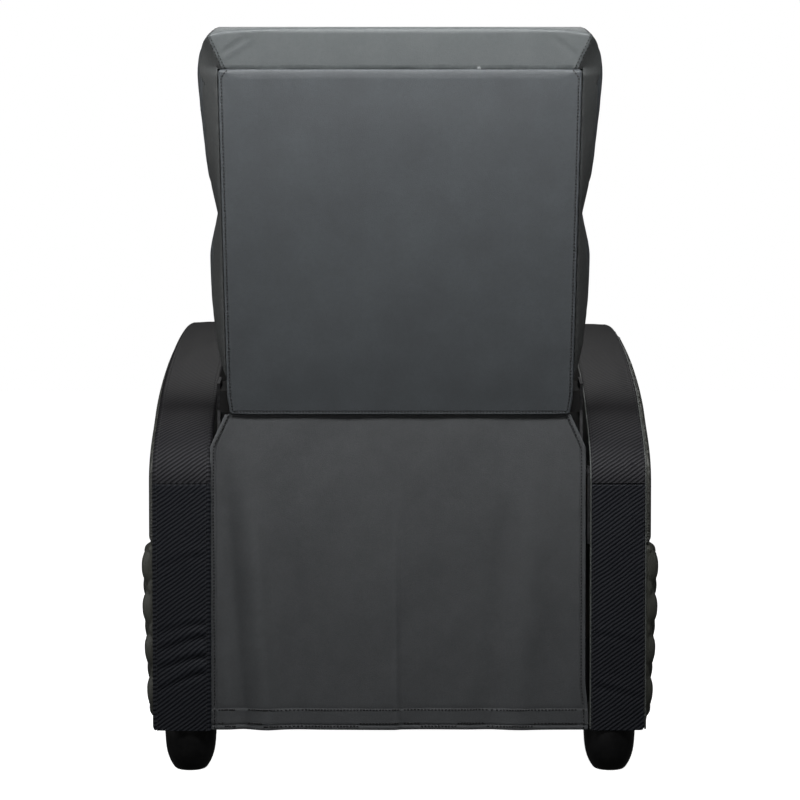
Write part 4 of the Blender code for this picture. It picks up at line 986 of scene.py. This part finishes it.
band = build_band()
slope = Vector((CORNER_SEAM[1][0] - CORNER_SEAM[0][0], 0, CORNER_SEAM[1][1] - CORNER_SEAM[0][1]))
gussets = {}
top_band = twin(band, "top_band_cover")
for word, side in SIDES:
    at = Vector(in_room(side * CORNER_SEAM[0][0], 0.0, CORNER_SEAM[0][1]).tolist())
    end = Vector(in_room(side * CORNER_SEAM[1][0], 0.0, CORNER_SEAM[1][1]).tolist())
    forward = Vector((in_room(0, 1, 0) - in_room(0, 0, 0)).tolist())
    normal = (end - at).cross(forward).normalized()
    if normal.x * side < 0:
        normal = -normal
    piece = cut_away(twin(band, f"{word}_side_gusset"), at, normal)
    cut_away(top_band, at, -normal)
    gussets[word] = piece
for piece in (top_band, *gussets.values()):
    outward(piece)
    smooth(piece, 60)
dress(top_band, BAND_LEATHER, "back", "grey_leather", "top_band")
for word, side in SIDES:
    dress(gussets[word], GUSSET_LEATHER, "back", "grey_leather", f"{word}_side_band")
sew("corner_seam_stitches", band, [corner_line(side, shift) for _, side in SIDES for shift in (-0.0036, 0.0036)], "back", width=1.4)
bpy.data.objects.remove(band)
print("band and gussets done")

# %% [markdown]
# ## Head, lumbar and seat cushions
# The front cushions are deep and soft. Each is blown up, then drawn in along the seams that part its middle
# panel from its two bolsters.

# %% Cushions
def keep_head(places):
    """The head cushion's top falls towards the band behind it, and its sides keep to the back's outline."""
    at = in_back(places)
    at[:, 1] = np.clip(at[:, 1], 0.0757, 0.1985)
    at[:, 2] = np.clip(at[:, 2], 0.2735, 0.5238 - 0.0705 * at[:, 1])
    x = np.minimum(np.abs(at[:, 0]), np.interp(at[:, 2], *np.array(BACK_OUTLINE).T) + 0.0005)
    x, high = round_top(x, at[:, 2], 0.232, 0.468, 0.0475, 0.0500)
    return in_room(np.sign(at[:, 0]) * x, at[:, 1], high)


head = pillow("head_cushion_cover", ["head_cushion"], 0.006, (1.025, 1.0, 1.06), 0.020, 4, keep_head)
dress(head, PANEL_LEATHER, "back", "grey_leather", "head_cushion")


def keep_lumbar(places):
    at = in_back(places)
    at[:, 1] = np.clip(at[:, 1], 0.0757, 0.1985)
    at[:, 2] = np.clip(at[:, 2], -0.040, 0.2729)
    limit = np.interp(at[:, 2], *np.array(BACK_OUTLINE).T) + 0.001
    return in_room(np.clip(at[:, 0], -limit, limit), at[:, 1], at[:, 2])


lumbar = pillow("lumbar_cushion_cover", ["lumbar_cushion"], 0.006, (1.025, 1.0, 1.05), 0.020, 4, keep_lumbar)
dress(lumbar, PANEL_LEATHER, "back", "grey_leather", "lumbar_cushion")


def keep_box(low, high):
    low, high = np.array(low), np.array(high)
    return lambda places: np.clip(places, low, high)


seat = pillow(
    "seat_cushion_cover", ["seat_cushion"], 0.006, (1.01, 1.01, 1.02), 0.022, 4,
    keep_box((-0.2575, -0.3665, 0.3978), (0.2575, 0.1661, 0.492)),
)
dress(seat, PANEL_LEATHER, "seat", "grey_leather", "seat_cushion")
leg_pad = pillow(
    "footrest_pad_cover", ["footrest_pad"], 0.005, (1.01, 1.0, 1.03), 0.010, 4,
    keep_box((-0.2555, -0.378, 0.0795), (0.2555, -0.3243, 0.3582)),
)
dress(leg_pad, PANEL_LEATHER, "footrest", "grey_leather", "footrest_pad")
rail_cover = pillow(
    "seat_front_cover", ["front_seat_rail"], 0.004, 1.0, 0.004, 4,
    keep_box((-0.2575, -0.3385, 0.3722), (0.2575, -0.3088, 0.3977)), False,
)
dress(rail_cover, PANEL_LEATHER, "seat", "grey_leather", "front_seat_rail")
print("cushions done")

# %% [markdown]
# ## Seams of the cushions
# Two seams part each cushion's middle from its bolsters, and a piped seam runs round it where the front panel
# meets the sides. The seam's line is found by casting rays at the cushion from its middle.

# %% Seams and piping on the cushions
def ring_on(obj, centre, u, v, count=220):
    """A closed line where the plane through centre meets the piece's outside."""
    tree, centre, u, v = surface_of(obj), Vector(centre), Vector(u).normalized(), Vector(v).normalized()
    found = []
    for k in range(count + 1):
        a = math.tau * k / count
        hit = tree.ray_cast(centre, u * math.cos(a) + v * math.sin(a))[0]
        if hit:
            found.append(hit)
    return np.array(found)


def front_line(obj, starts, direction):
    """Where rays from the starts, all in one direction, first meet the piece."""
    tree, way = surface_of(obj), Vector(direction).normalized()
    hits = [tree.ray_cast(Vector(p), way)[0] for p in starts]
    return np.array([h for h in hits if h])


def proud(line, centre, by):
    away = line - np.asarray(centre)
    away /= np.linalg.norm(away, axis=1, keepdims=True)
    return line + away * by


def seam_back_cushion(name, obj, low, high, seam_x):
    middle = in_room(0.0, 0.150, (low + high) / 2)
    edge = ring_on(obj, middle, ACROSS, UPWARD)
    press_seam(obj, edge, 0.0025, 0.006)
    stitch_lines = []
    for side in (1, -1):
        starts = in_room(side * seam_x, 0.26, np.linspace(low + 0.006, high - 0.006, 70))
        line = front_line(obj, starts, BACKWARD)
        press_seam(obj, line, 0.0065, 0.009)
        for shift in (-0.0045, 0.0045):
            stitch_lines.append(front_line(obj, starts + np.array([shift, 0, 0]), BACKWARD))
    ring = ring_on(obj, middle, ACROSS, UPWARD)
    pipe(f"{name}_piping", proud(ring[:-1], middle, 0.0006), 0.0022, PIPING_LEATHER, "back", closed=True)
    sew(f"{name}_stitches", obj, stitch_lines, "back")


seam_back_cushion("head_cushion", head, 0.274, 0.515, 0.150)
seam_back_cushion("lumbar_cushion", lumbar, -0.038, 0.272, 0.150)

seat_middle = (0.0, -0.10, 0.4475)
press_seam(seat, ring_on(seat, seat_middle, (1, 0, 0), (0, 1, 0)), 0.002, 0.006)
seat_lines = []
for side in (1, -1):
    starts = [(side * 0.165, y, 0.6) for y in np.linspace(-0.352, 0.150, 90)]
    line = front_line(seat, starts, (0, 0, -1))
    press_seam(seat, line, 0.0050, 0.009)
    for shift in (-0.0045, 0.0045):
        seat_lines.append(front_line(seat, [(x + shift, y, z) for x, y, z in starts], (0, 0, -1)))
seat_ring = ring_on(seat, seat_middle, (1, 0, 0), (0, 1, 0))
pipe("seat_cushion_piping", proud(seat_ring[:-1], seat_middle, 0.0003), 0.0022, PIPING_LEATHER, "seat", closed=True)
sew("seat_cushion_stitches", seat, seat_lines, "seat")

leg_lines = []
for side in (1, -1):
    starts = [(side * 0.165, -0.5, z) for z in np.linspace(0.090, 0.348, 60)]
    line = front_line(leg_pad, starts, (0, 1, 0))
    press_seam(leg_pad, line, 0.0035, 0.008)
    for shift in (-0.0045, 0.0045):
        leg_lines.append(front_line(leg_pad, [(x + shift, y, z) for x, y, z in starts], (0, 1, 0)))
sew("footrest_pad_stitches", leg_pad, leg_lines, "footrest")
leg_middle = (0.0, -0.348, 0.219)
leg_ring = ring_on(leg_pad, leg_middle, (1, 0, 0), (0, 0, 1))
pipe("footrest_pad_piping", proud(leg_ring[:-1], leg_middle, 0.0002), 0.0020, PIPING_LEATHER, "footrest", closed=True)

# %% [markdown]
# ## The skirt
# A sheet of leather hangs from the back's bottom seam and hides the works. It is one sheet with bevelled top
# corners, rolled side edges, a doubled hem, and soft folds that grow towards the hem.

# %% Skirt
SKIRT_TOP, SKIRT_HEM = 0.4936, 0.059
SKIRT_OFFSET, SKIRT_Y = 0.003, 0.2839


def skirt_half(z):
    """Half width: chamfered from 0.2365 at the top to 0.2575 over the first 45 mm."""
    drop = np.clip((SKIRT_TOP - z) / 0.045, 0, 1)
    return 0.2365 + 0.021 * drop


def build_skirt():
    height = SKIRT_TOP - SKIRT_HEM
    obj, pair = lay_grid("rear_skirt", rows_of(0.515, 0.0012, 0.018), rows_of(height, 0.0015, 0.03))
    share = pair[:, 0] / 0.515 * 2 - 1
    z = SKIRT_HEM + pair[:, 1]
    half = skirt_half(z)
    x = SKIRT_OFFSET + share * half - 0.0040 * ease(-share, 0.90, 1.0) * ease(0.13 - z, 0, 0.05)
    inset = half * (1 - np.abs(share))
    fall = ease(SKIRT_TOP - z, 0.0, 0.25)
    y = np.full(len(x), SKIRT_Y)
    lean = share + np.sign(share) * 0.28 * (SKIRT_TOP - z) - 0.05
    for place, width, size in (
        (0.90, 0.05, -0.9), (0.77, 0.06, 1.0), (0.60, 0.09, -0.5), (0.10, 0.22, 0.5), (-0.35, 0.20, -0.4),
        (-0.82, 0.09, 0.7), (-0.66, 0.08, -0.5),
    ):
        y += 0.0058 * size * ridge(lean, place, width) * fall
    y += 0.0007 * waves(np.stack([x, y, z], -1), 0.07, 1)
    hem = z - SKIRT_HEM
    y += 0.0012 * (1 - ease(inset, 0.0058, 0.0085)) + 0.0006 * (1 - ease(hem, 0.0275, 0.0305))
    y -= 0.0012 * ridge(inset, 0.0068, 0.0012)
    y -= 0.0009 * (ridge(hem, 0.0063, 0.0012) + ridge(hem, 0.0288, 0.0012))
    y -= 0.0010 * (1 - ease(inset, 0.0, 0.0016)) + 0.0008 * (1 - ease(hem, 0.0, 0.0016))
    set_points(obj, np.stack([x, y, z], -1))
    thick = obj.modifiers.new("leather", "SOLIDIFY")
    thick.thickness, thick.offset, thick.use_even_offset = 0.0022, 0, False
    apply_all(obj)
    outward(obj)
    smooth(obj, 50)
    dress(obj, SKIRT_LEATHER, "flap", "grey_leather", "rear_flap")
    return obj


skirt = build_skirt()


def skirt_edge(side, inset):
    z = np.linspace(SKIRT_HEM + 0.004, SKIRT_TOP - 0.004, 120)
    return np.stack([SKIRT_OFFSET + side * (skirt_half(z) - inset), np.full(120, SKIRT_Y + 0.02), z], -1)


def skirt_level(rise):
    x = np.linspace(-0.250, 0.250, 120)
    return np.stack([SKIRT_OFFSET + x, np.full(120, SKIRT_Y + 0.02), np.full(120, SKIRT_HEM + rise)], -1)


sew(
    "skirt_stitches", skirt,
    [skirt_edge(1, 0.0068), skirt_edge(-1, 0.0068), skirt_level(0.0063), skirt_level(0.0288)], "flap", sink=-0.0003, width=2.1,
)
print("skirt faces:", len(skirt.data.polygons))

# %% [markdown]
# ## The arms' outline
# Seen from the side, an arm runs up its rear face, bends forward over a shoulder, slopes gently up to a crest
# near the front and turns down again. Every piece of the arm follows this one line.

# %% The arm's line, with its outward direction and its length
def bezier(p0, p1, p2, p3, steps):
    t = np.linspace(0, 1, steps + 1)[1:, None]
    s = 1 - t
    return s**3 * p0 + 3 * s * s * t * p1 + 3 * s * t * t * p2 + t**3 * p3


def arm_line(from_z=FOOT_Z):
    """Points (y, z) from the rear foot over the top to the front foot, and outward normals."""
    seam, shoulder = np.array([REAR_Y, 0.398]), np.array([REAR_Y - 0.090, 0.500])
    crest, brow = np.array([-0.3091, 0.620]), np.array([FRONT_Y, 0.548])
    slope = np.array([-0.060, 0.050])
    line = [np.array([[REAR_Y, z] for z in np.linspace(from_z, 0.398, max(2, int((0.398 - from_z) / 0.004)))])]
    if from_z >= 0.398:
        line = [seam[None]]
    line.append(bezier(seam, seam + (0, 0.055), shoulder - slope / 2, shoulder, 40))
    line.append(bezier(shoulder, shoulder + slope, crest + (0.200, 0), crest, 130))
    line.append(bezier(crest, crest - (0.048, 0), brow + (0, 0.048), brow, 40))
    line.append(np.array([[FRONT_Y, z] for z in np.linspace(0.548, FOOT_Z, 120)[1:]]))
    line = np.concatenate(line)
    along = np.gradient(line, axis=0)
    along /= np.linalg.norm(along, axis=1, keepdims=True)
    return line, np.stack([along[:, 1], -along[:, 0]], -1)


print("arm line length:", round(float(np.linalg.norm(np.diff(arm_line()[0], axis=0), axis=1).sum()), 3), "m")

# %% [markdown]
# ## Woven strips
# Two pieces of woven strip wrap each arm, and meet at a level seam. Each is a grid laid along the arm's line, lightly
# crowned over its padding, with two stitch lines near its edges, and then given 3.5 mm of thickness.

# %% Strips
def strip_on(name, side, line, outward_way, material, body, node_name, seam_at_start, seam_at_end, creases=()):
    width = ARM_OUT - ARM_IN
    run = np.concatenate([[0], np.cumsum(np.linalg.norm(np.diff(line, axis=0), axis=1))])
    along = np.unique(np.concatenate([np.arange(0, run[-1], 0.004), np.arange(0, 0.012, 0.001), run[-1] - np.arange(0, 0.012, 0.001)]))
    obj, pair = lay_grid(name, rows_of(width, 0.0008, 0.0088, 0.003), along, -side)
    x_map, s = pair[:, 0], pair[:, 1]
    inset = np.minimum(x_map, width - x_map)
    sink = 0.0018 * (1 - np.sqrt(np.clip(1 - np.clip(1 - inset / 0.0024, 0, 1) ** 2, 0, 1)))
    sink += 0.0004 * ridge(inset, 0.0034, 0.0009) - 0.0009 * ease(inset, 0.0045, 0.025)
    for wanted, place in ((seam_at_start, s), (seam_at_end, run[-1] - s)):
        if wanted:
            sink += 0.0014 * (1 - np.sqrt(np.clip(1 - np.clip(1 - place / 0.0015, 0, 1) ** 2, 0, 1)))
    y, z = np.interp(s, run, line[:, 0]), np.interp(s, run, line[:, 1])
    ny, nz = np.interp(s, run, outward_way[:, 0]), np.interp(s, run, outward_way[:, 1])
    over, under = np.clip(x_map - width + 0.007, 0, 0.007), np.clip(FOOT_Z + 0.007 - z, 0, 0.007)
    corner = (over > 0) & (under > 0) & (s < 0.02)
    x = ARM_IN + np.where(corner, width - 0.007 + over * np.sqrt(1 - (under / 0.007) ** 2 / 2), x_map)
    z = np.where(corner, FOOT_Z + 0.007 - under * np.sqrt(1 - (over / 0.007) ** 2 / 2), z)
    x *= side
    at = np.stack([x, y, z], -1)
    sink += 0.0004 * waves(at, 0.05, 3) * ease(inset, 0.004, 0.02)
    share = x_map / width
    for z_in, z_out, size in creases:
        middle = z_in + (z_out - z_in) * share + 0.002 * np.sin(share * 5)
        fold = ridge(z, middle, 0.0038) - 0.8 * ridge(z, middle + 0.0085, 0.0050)
        sink += 0.0019 * size * fold * (1 - 0.65 * share) * ease(inset, 0.001, 0.010)
    top = np.stack([x, y - ny * sink, z - nz * sink], -1)
    set_points(obj, top)

    thick = obj.modifiers.new("padding", "SOLIDIFY")
    thick.thickness, thick.offset, thick.use_even_offset = 0.0035, -1, False
    apply_all(obj)
    outward(obj)
    smooth(obj, 60)
    dress(obj, material, body, "woven_strip", node_name)
    return obj


CREASES = {
    "left": ((0.1876, 0.1697, 1.0), (0.160, 0.145, 1.2), (0.139, 0.1146, 1.1), (0.205, 0.196, 0.5), (0.300, 0.285, 0.3)),
    "right": ((0.190, 0.178, 0.35), (0.118, 0.104, 0.45)),
}
strips = {}
for word, side in SIDES:
    line, way = arm_line()
    low = line[:, 1] <= 0.3977
    low &= np.arange(len(line)) < len(line) // 2
    rear = np.concatenate([line[low], [[REAR_Y, 0.3977]]])
    rear_way = np.tile([1.0, 0.0], (len(rear), 1))
    strips[word, "rear"] = strip_on(
        f"{word}_rear_strip_cover", side, rear, rear_way, TWILL_LOW, "base", f"{word}_rear_strip", False, True,
        CREASES[word],
    )
    line, way = arm_line(0.398)
    strips[word, "top"] = strip_on(
        f"{word}_top_strip_cover", side, line, way, TWILL_TOP, "base", f"{word}_top_strip", True, False
    )
    for part in ("rear", "top"):
        run, run_way = (rear, rear_way) if part == "rear" else (line, way)
        run = run[:-2] if part == "rear" else run[2:-2]
        run_way = run_way[:-2] if part == "rear" else run_way[2:-2]
        out = run + run_way * 0.004
        lines = [
            np.stack([np.full(len(out), side * x), out[:, 0], out[:, 1]], -1)
            for x in (ARM_IN + 0.0034, ARM_OUT - 0.0034)
        ]
        if part == "top":
            level = np.linspace(ARM_IN + 0.0045, ARM_OUT - 0.0045, 30)
            lines.append(np.stack([side * level, np.full(30, REAR_Y + 0.01), np.full(30, 0.4003)], -1))
        sew(f"{word}_{part}_strip_stitches", strips[word, part], lines, "base", pitch=0.0040, sink=0.0002, width=0.85)
    whole, whole_way = arm_line()
    for edge, x in (("outer", ARM_OUT + 0.0005), ("inner", ARM_IN - 0.0002)):
        inset = whole - whole_way * 0.0022
        route = np.stack([np.full(len(inset), side * x), inset[:, 0], inset[:, 1]], -1)
        route[:, 2] = np.maximum(route[:, 2], 0.0605)
        pipe(f"{word}_arm_{edge}_piping", route, 0.0014, PIPING_LEATHER, "base", "side_leather")
    print(word, "strips:", len(strips[word, "rear"].data.polygons), len(strips[word, "top"].data.polygons))

# %% [markdown]
# ## Arm pads
# Leather over foam covers both faces of the arm's board. Each is a grid whose columns reach up to the arm's line.
# Its edge is rolled by its distance from the outline, and its middle bellies out, so it could not be a plate.

# %% Arm pads
def pad_outline(low_z):
    line, way = arm_line()
    y, z = (line - way * 0.0063).T
    keep = z > low_z
    y, z = y[keep], z[keep]
    bottom = np.linspace(y[-1], y[0], 150)
    return np.concatenate([np.stack([y, z], -1), np.stack([bottom, np.full(150, low_z)], -1)])


def build_arm_pad(name, side, low_z, face_x, back_x, facing, roll, belly, node_name):
    outline = pad_outline(low_z)
    front, rear = outline[:, 0].min(), outline[:, 0].max()
    obj, pair = lay_grid(name, rows_of(rear - front, 0.0015, 0.018, 0.0045), rows_of(1.0, 0.004, 0.05, 0.012))
    y = front + pair[:, 0]
    line, way = arm_line()
    top_y, top_z = (line - way * 0.0063).T
    order = np.argsort(top_y)
    ridge_z = np.interp(y, top_y[order], np.maximum.accumulate(top_z[order][::-1])[::-1])
    high = top_z[(top_y > front + 0.002) & (top_y < rear - 0.002)]
    ridge_z = np.interp(np.clip(y, front + 0.0004, rear - 0.0004), *top_of(top_y, top_z))
    z = low_z + pair[:, 1] * (ridge_z - low_z)
    inset = np.full(len(y), 1e9)
    for part in np.array_split(outline, 40):
        inset = np.minimum(inset, np.hypot(y[:, None] - part[:, 0], z[:, None] - part[:, 1]).min(1))
    bent = np.clip(1 - inset / roll, 0, 1)
    sink = roll * 0.8 * (1 - np.sqrt(np.clip(1 - bent**2, 0, 1)))
    sink += belly * (1 - ease(inset, 0.0, 0.075)) + 0.0009 * ridge(inset, roll + 0.003, 0.0013)
    at = np.stack([np.full(len(y), face_x), y, z], -1)
    sink += 0.0006 * (1 + waves(at, 0.07, 4)) * ease(inset, 0.01, 0.04)
    x = side * (face_x - facing * sink)
    set_points(obj, np.stack([x, y, z], -1))
    close_behind(obj, lambda edge: np.stack([np.full(len(edge), side * back_x), edge[:, 1], edge[:, 2]], -1))
    smooth(obj, 60)
    dress(obj, ARM_LEATHER, "base", "side_leather", node_name)
    middle = outline.mean(0)
    toward = middle - outline
    toward /= np.linalg.norm(toward, axis=1, keepdims=True)
    return obj


def top_of(y, z):
    """The arm line's highest z at each y, in rising y."""
    grid = np.linspace(y.min(), y.max(), 400)
    height = np.array([z[np.abs(y - g) < 0.0022].max() if (np.abs(y - g) < 0.0022).any() else np.nan for g in grid])
    good = ~np.isnan(height)
    return grid[good], height[good]


arm_pads = {}
for word, side in SIDES:
    outer = build_arm_pad(
        f"{word}_arm_outer_cover", side, 0.3173, 0.3477, 0.3083, 1, 0.010, 0.0015, f"{word}_arm_outer_pad"
    )
    inner = build_arm_pad(
        f"{word}_arm_inner_cover", side, 0.0592, 0.2626, 0.2893, -1, 0.003, 0.0, f"{word}_arm_inner_pad"
    )
    arm_pads[word] = (inner, outer)
print("arm pad faces:", len(outer.data.polygons), len(inner.data.polygons))

# %% [markdown]
# ## Quilted sides
# Thread in crossing diagonals holds the leather down to its padding, and the foam swells between the lines. The
# height of the surface is worked out from the distance to the nearest two lines of the diamond net.

# %% Quilted panels
QUILT_LOW, QUILT_HIGH = 0.0653, 0.3168
QUILT_FRONT, QUILT_REAR = -0.3825, 0.2844
QUILT_IN, QUILT_OUT = 0.3083, 0.3578
DIAMOND = 0.058
KNOT_Y, KNOT_Z = 0.2713, 0.2543  # a crossing of two stitch lines near the rear edge


def diamonds(y, z):
    """Distance, as a share of half a diamond, from the nearest stitch line: 0 on a line, 1 in the middle."""
    a, b = (y - KNOT_Y + z - KNOT_Z) / DIAMOND, (y - KNOT_Y - z + KNOT_Z) / DIAMOND
    return np.abs(a - np.round(a)) * 2, np.abs(b - np.round(b)) * 2


def build_quilt(word, side):
    length, height = QUILT_REAR - QUILT_FRONT, QUILT_HIGH - QUILT_LOW
    obj, pair = lay_grid(f"{word}_quilted_side", rows_of(length, 0.0014, 0.0252, 0.0021), rows_of(height, 0.0014, 0.0196, 0.0021))
    y, z = pair[:, 0] - length / 2, pair[:, 1]
    y, z = round_corners(y, z, length / 2, 0, height, 0.012)
    inset = edge_distance(y, z, length / 2, 0, height, 0.012)
    a, b = diamonds(y + (QUILT_FRONT + QUILT_REAR) / 2, z + QUILT_LOW)
    a, b = np.sqrt(a * a + 0.003) - 0.025, np.sqrt(b * b + 0.003) - 0.025
    puff = 0.0072 * (1 - (1 - a) ** 3) * (1 - (1 - b) ** 3)
    bent = np.clip(1 - inset / 0.021, 0, 1)
    envelope = QUILT_OUT - 0.0085 * (1 - ease(z + QUILT_LOW, 0.05, 0.27))
    x = envelope - 0.0072 + puff * ease(inset, -0.006, 0.008) - 0.0135 * (1 - np.sqrt(1 - bent**2 * 0.999))
    places = np.stack([side * x, y + (QUILT_FRONT + QUILT_REAR) / 2, z + QUILT_LOW], -1)
    set_points(obj, places)
    close_behind(obj, lambda edge: np.stack([np.full(len(edge), side * QUILT_IN), edge[:, 1], edge[:, 2]], -1))
    smooth(obj, 70)
    dress(obj, QUILT_LEATHER, "base", "side_leather", f"{word}_side_quilt")
    return obj


def quilt_lines(side):
    """The crossing diagonals, cut off at the panel's edge."""
    lines = []
    for way in (1, -1):
        start = KNOT_Y + way * KNOT_Z
        for k in range(-30, 31):
            z = np.linspace(QUILT_LOW + 0.007, QUILT_HIGH - 0.007, 90)
            y = start + k * DIAMOND - way * z
            inside = (y > QUILT_FRONT + 0.007) & (y < QUILT_REAR - 0.007)
            if inside.sum() > 4:
                y, z = y[inside], z[inside]
                lines.append(np.stack([np.full(len(y), side * (QUILT_OUT + 0.01)), y, z], -1))
    return lines


quilts = {word: build_quilt(word, side) for word, side in SIDES}
for word, side in SIDES:
    sew(f"{word}_quilt_stitches", quilts[word], quilt_lines(side), "base", pitch=0.0055, width=1.2)
print("quilt faces:", {k: len(v.data.polygons) for k, v in quilts.items()})

# %% [markdown]
# ## Feet
# A foot is turned from one outline: a flat top, a rounded bulge below its middle and a narrower sole. It is
# built by adding a circle and extruding it ring by ring, and the other three are copies.

# %% Feet
FOOT_RINGS = (
    (0.0587, 0.0348), (0.0578, 0.0356), (0.050, 0.0356), (0.040, 0.0350), (0.0315, 0.0341), (0.0245, 0.0328),
    (0.018, 0.0309), (0.0115, 0.0282), (0.0065, 0.0253), (0.0028, 0.0227), (0.0008, 0.0203), (0.0, 0.0180),
)


def build_foot():
    pick(camera)
    top_z, top_radius = FOOT_RINGS[0]
    bpy.ops.mesh.primitive_circle_add(vertices=48, radius=top_radius, location=(0, 0, top_z), fill_type="NGON")
    obj = settle(bpy.context.object)
    bpy.ops.object.mode_set(mode="EDIT")
    bpy.ops.mesh.select_all(action="SELECT")
    radius, height = top_radius, top_z
    for z, wide in FOOT_RINGS[1:]:
        bpy.ops.mesh.extrude_region_move(TRANSFORM_OT_translate={"value": (0, 0, z - height)})
        bpy.ops.transform.resize(value=(wide / radius, wide / radius, 1))
        radius, height = wide, z
    bpy.ops.object.mode_set(mode="OBJECT")
    in_edit(obj, lambda: bpy.ops.mesh.remove_doubles(threshold=0.00001))
    outward(obj)
    return smooth(obj, 35)


first_foot = build_foot()
for end, y in (("rear", 0.2549), ("front", -0.3531)):
    for word, side in SIDES:
        foot = first_foot.copy()
        foot.data = first_foot.data.copy()
        foot.name = f"{end}_{word}_foot_shell"
        bpy.context.scene.collection.objects.link(foot)
        foot.location = (side * 0.291, y, 0)
        settle(foot)
        dress(foot, PLASTIC, "base", "black_plastic", f"{end}_{word}_foot")
bpy.data.objects.remove(first_foot)
print("feet: 4")

# %% [markdown]
# ## Finishes on the pieces that stay as they are
# Boards, rails, springs and the whole footrest linkage already have their real shapes, so they only get their finish,
# by the material slot that each one has. The posts, rails and boards, picked by name, get a near-black plywood instead:
# a dark stain made darker still as painted shade.

# %% Finishes on the solids
# Near-black plywood for the posts, rails and boards: partly a dark stain, partly painted shade for where they sit in
# shade.
STAIN_AND_SHADE_PLYWOOD = build_plywood("stain_and_shade_plywood", rgb(14, 13, 12), rgb(10, 10, 9), rgb(8, 8, 7))
STAIN_AND_SHADE_NODES = ("post", "back_bottom_rail", "back_top_rail", "rear_cross_rail", "arm_board", "footrest_board")
FINISH_BY_SLOT = {
    "grey_leather": PANEL_LEATHER,
    "side_leather": ARM_LEATHER,
    "woven_strip": TWILL_LOW,
    "black_plastic": PLASTIC,
    "plywood": PLYWOOD,
    "black_steel": STEEL,
    "spring_steel": WIRE,
}
for name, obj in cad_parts.items():
    if obj.hide_render or not obj.material_slots:
        continue
    old = obj.material_slots[0].material.name if obj.material_slots[0].material else ""
    found = next((m for s, m in FINISH_BY_SLOT.items() if s in old), None)
    print(name, old, "->", found.name if found else None)
    if any(word in name for word in STAIN_AND_SHADE_NODES):
        found = STAIN_AND_SHADE_PLYWOOD
    if found:
        for slot in obj.material_slots:
            slot.material = found

# %% [markdown]
# ## Stage and light
# A pale floor, a white surround and soft lamps. The back's upper part is brighter than its lower part in the
# photograph, so the big lamp is high behind the camera.

# %% Stage and light
def add_lamp(name, location, target, size, power):
    bpy.ops.object.light_add(type="AREA", location=location)
    lamp = bpy.context.object
    lamp.name = name
    lamp.data.shape, lamp.data.size, lamp.data.size_y, lamp.data.energy = "RECTANGLE", size[0], size[1], power
    lamp.visible_camera = False
    lamp.rotation_euler = (Vector(target) - Vector(location)).to_track_quat("-Z", "Y").to_euler()
    return lamp


def build_stage():
    pick(camera)
    bpy.ops.mesh.primitive_plane_add(size=40, location=(0, 0, -0.0005))
    floor = settle(bpy.context.object)
    floor.name = "floor"
    made, tree, shader, place = blank("floor_paint")
    soft = node(tree, "ShaderNodeTexNoise", Vector=place, Scale=3.0, Detail=2.0).outputs[0]
    tree.links.new(mixed(tree, soft, (0.90, 0.90, 0.90), (0.93, 0.93, 0.93)), shader.inputs["Base Color"])
    shader.inputs["Roughness"].default_value = 0.9
    shader.inputs["Emission Color"].default_value = (1, 1, 1, 1)
    seen = tree.nodes.new("ShaderNodeLightPath").outputs["Is Camera Ray"]
    tree.links.new(maths(tree, "MULTIPLY", seen, 1.0), shader.inputs["Emission Strength"])
    floor.data.materials.append(made)
    floor.visible_diffuse = floor.visible_glossy = False
    world = bpy.context.scene.world or bpy.data.worlds.new("surround")
    bpy.context.scene.world = world
    world.use_nodes = True
    back = world.node_tree.nodes["Background"]
    back.inputs[0].default_value = (1, 1, 1, 1)
    seen = world.node_tree.nodes.new("ShaderNodeLightPath").outputs["Is Camera Ray"]
    world.node_tree.links.new(remap(world.node_tree, seen, 0.0, 1.0, 0.035, 1.0), back.inputs[1])
    add_lamp("high_lamp", (0.0, 1.05, 1.45), (0, 0.30, 0.80), (1.5, 0.35), 23.5)
    add_lamp("rear_lamp", (0.0, 3.40, 1.00), (0, 0.30, 0.50), (1.6, 1.0), 7)
    add_lamp("left_lamp", (2.4, 0.6, 0.9), (0, 0.1, 0.4), (1.0, 1.6), 13)
    add_lamp("right_lamp", (-2.4, 0.6, 0.9), (0, 0.1, 0.4), (1.0, 1.6), 1.5)
    add_lamp("front_lamp", (0.0, -1.7, 2.6), (0, -0.1, 0.5), (2.0, 1.0), 16)


build_stage()
bpy.context.scene.view_settings.view_transform = "Standard"
print("stage built")
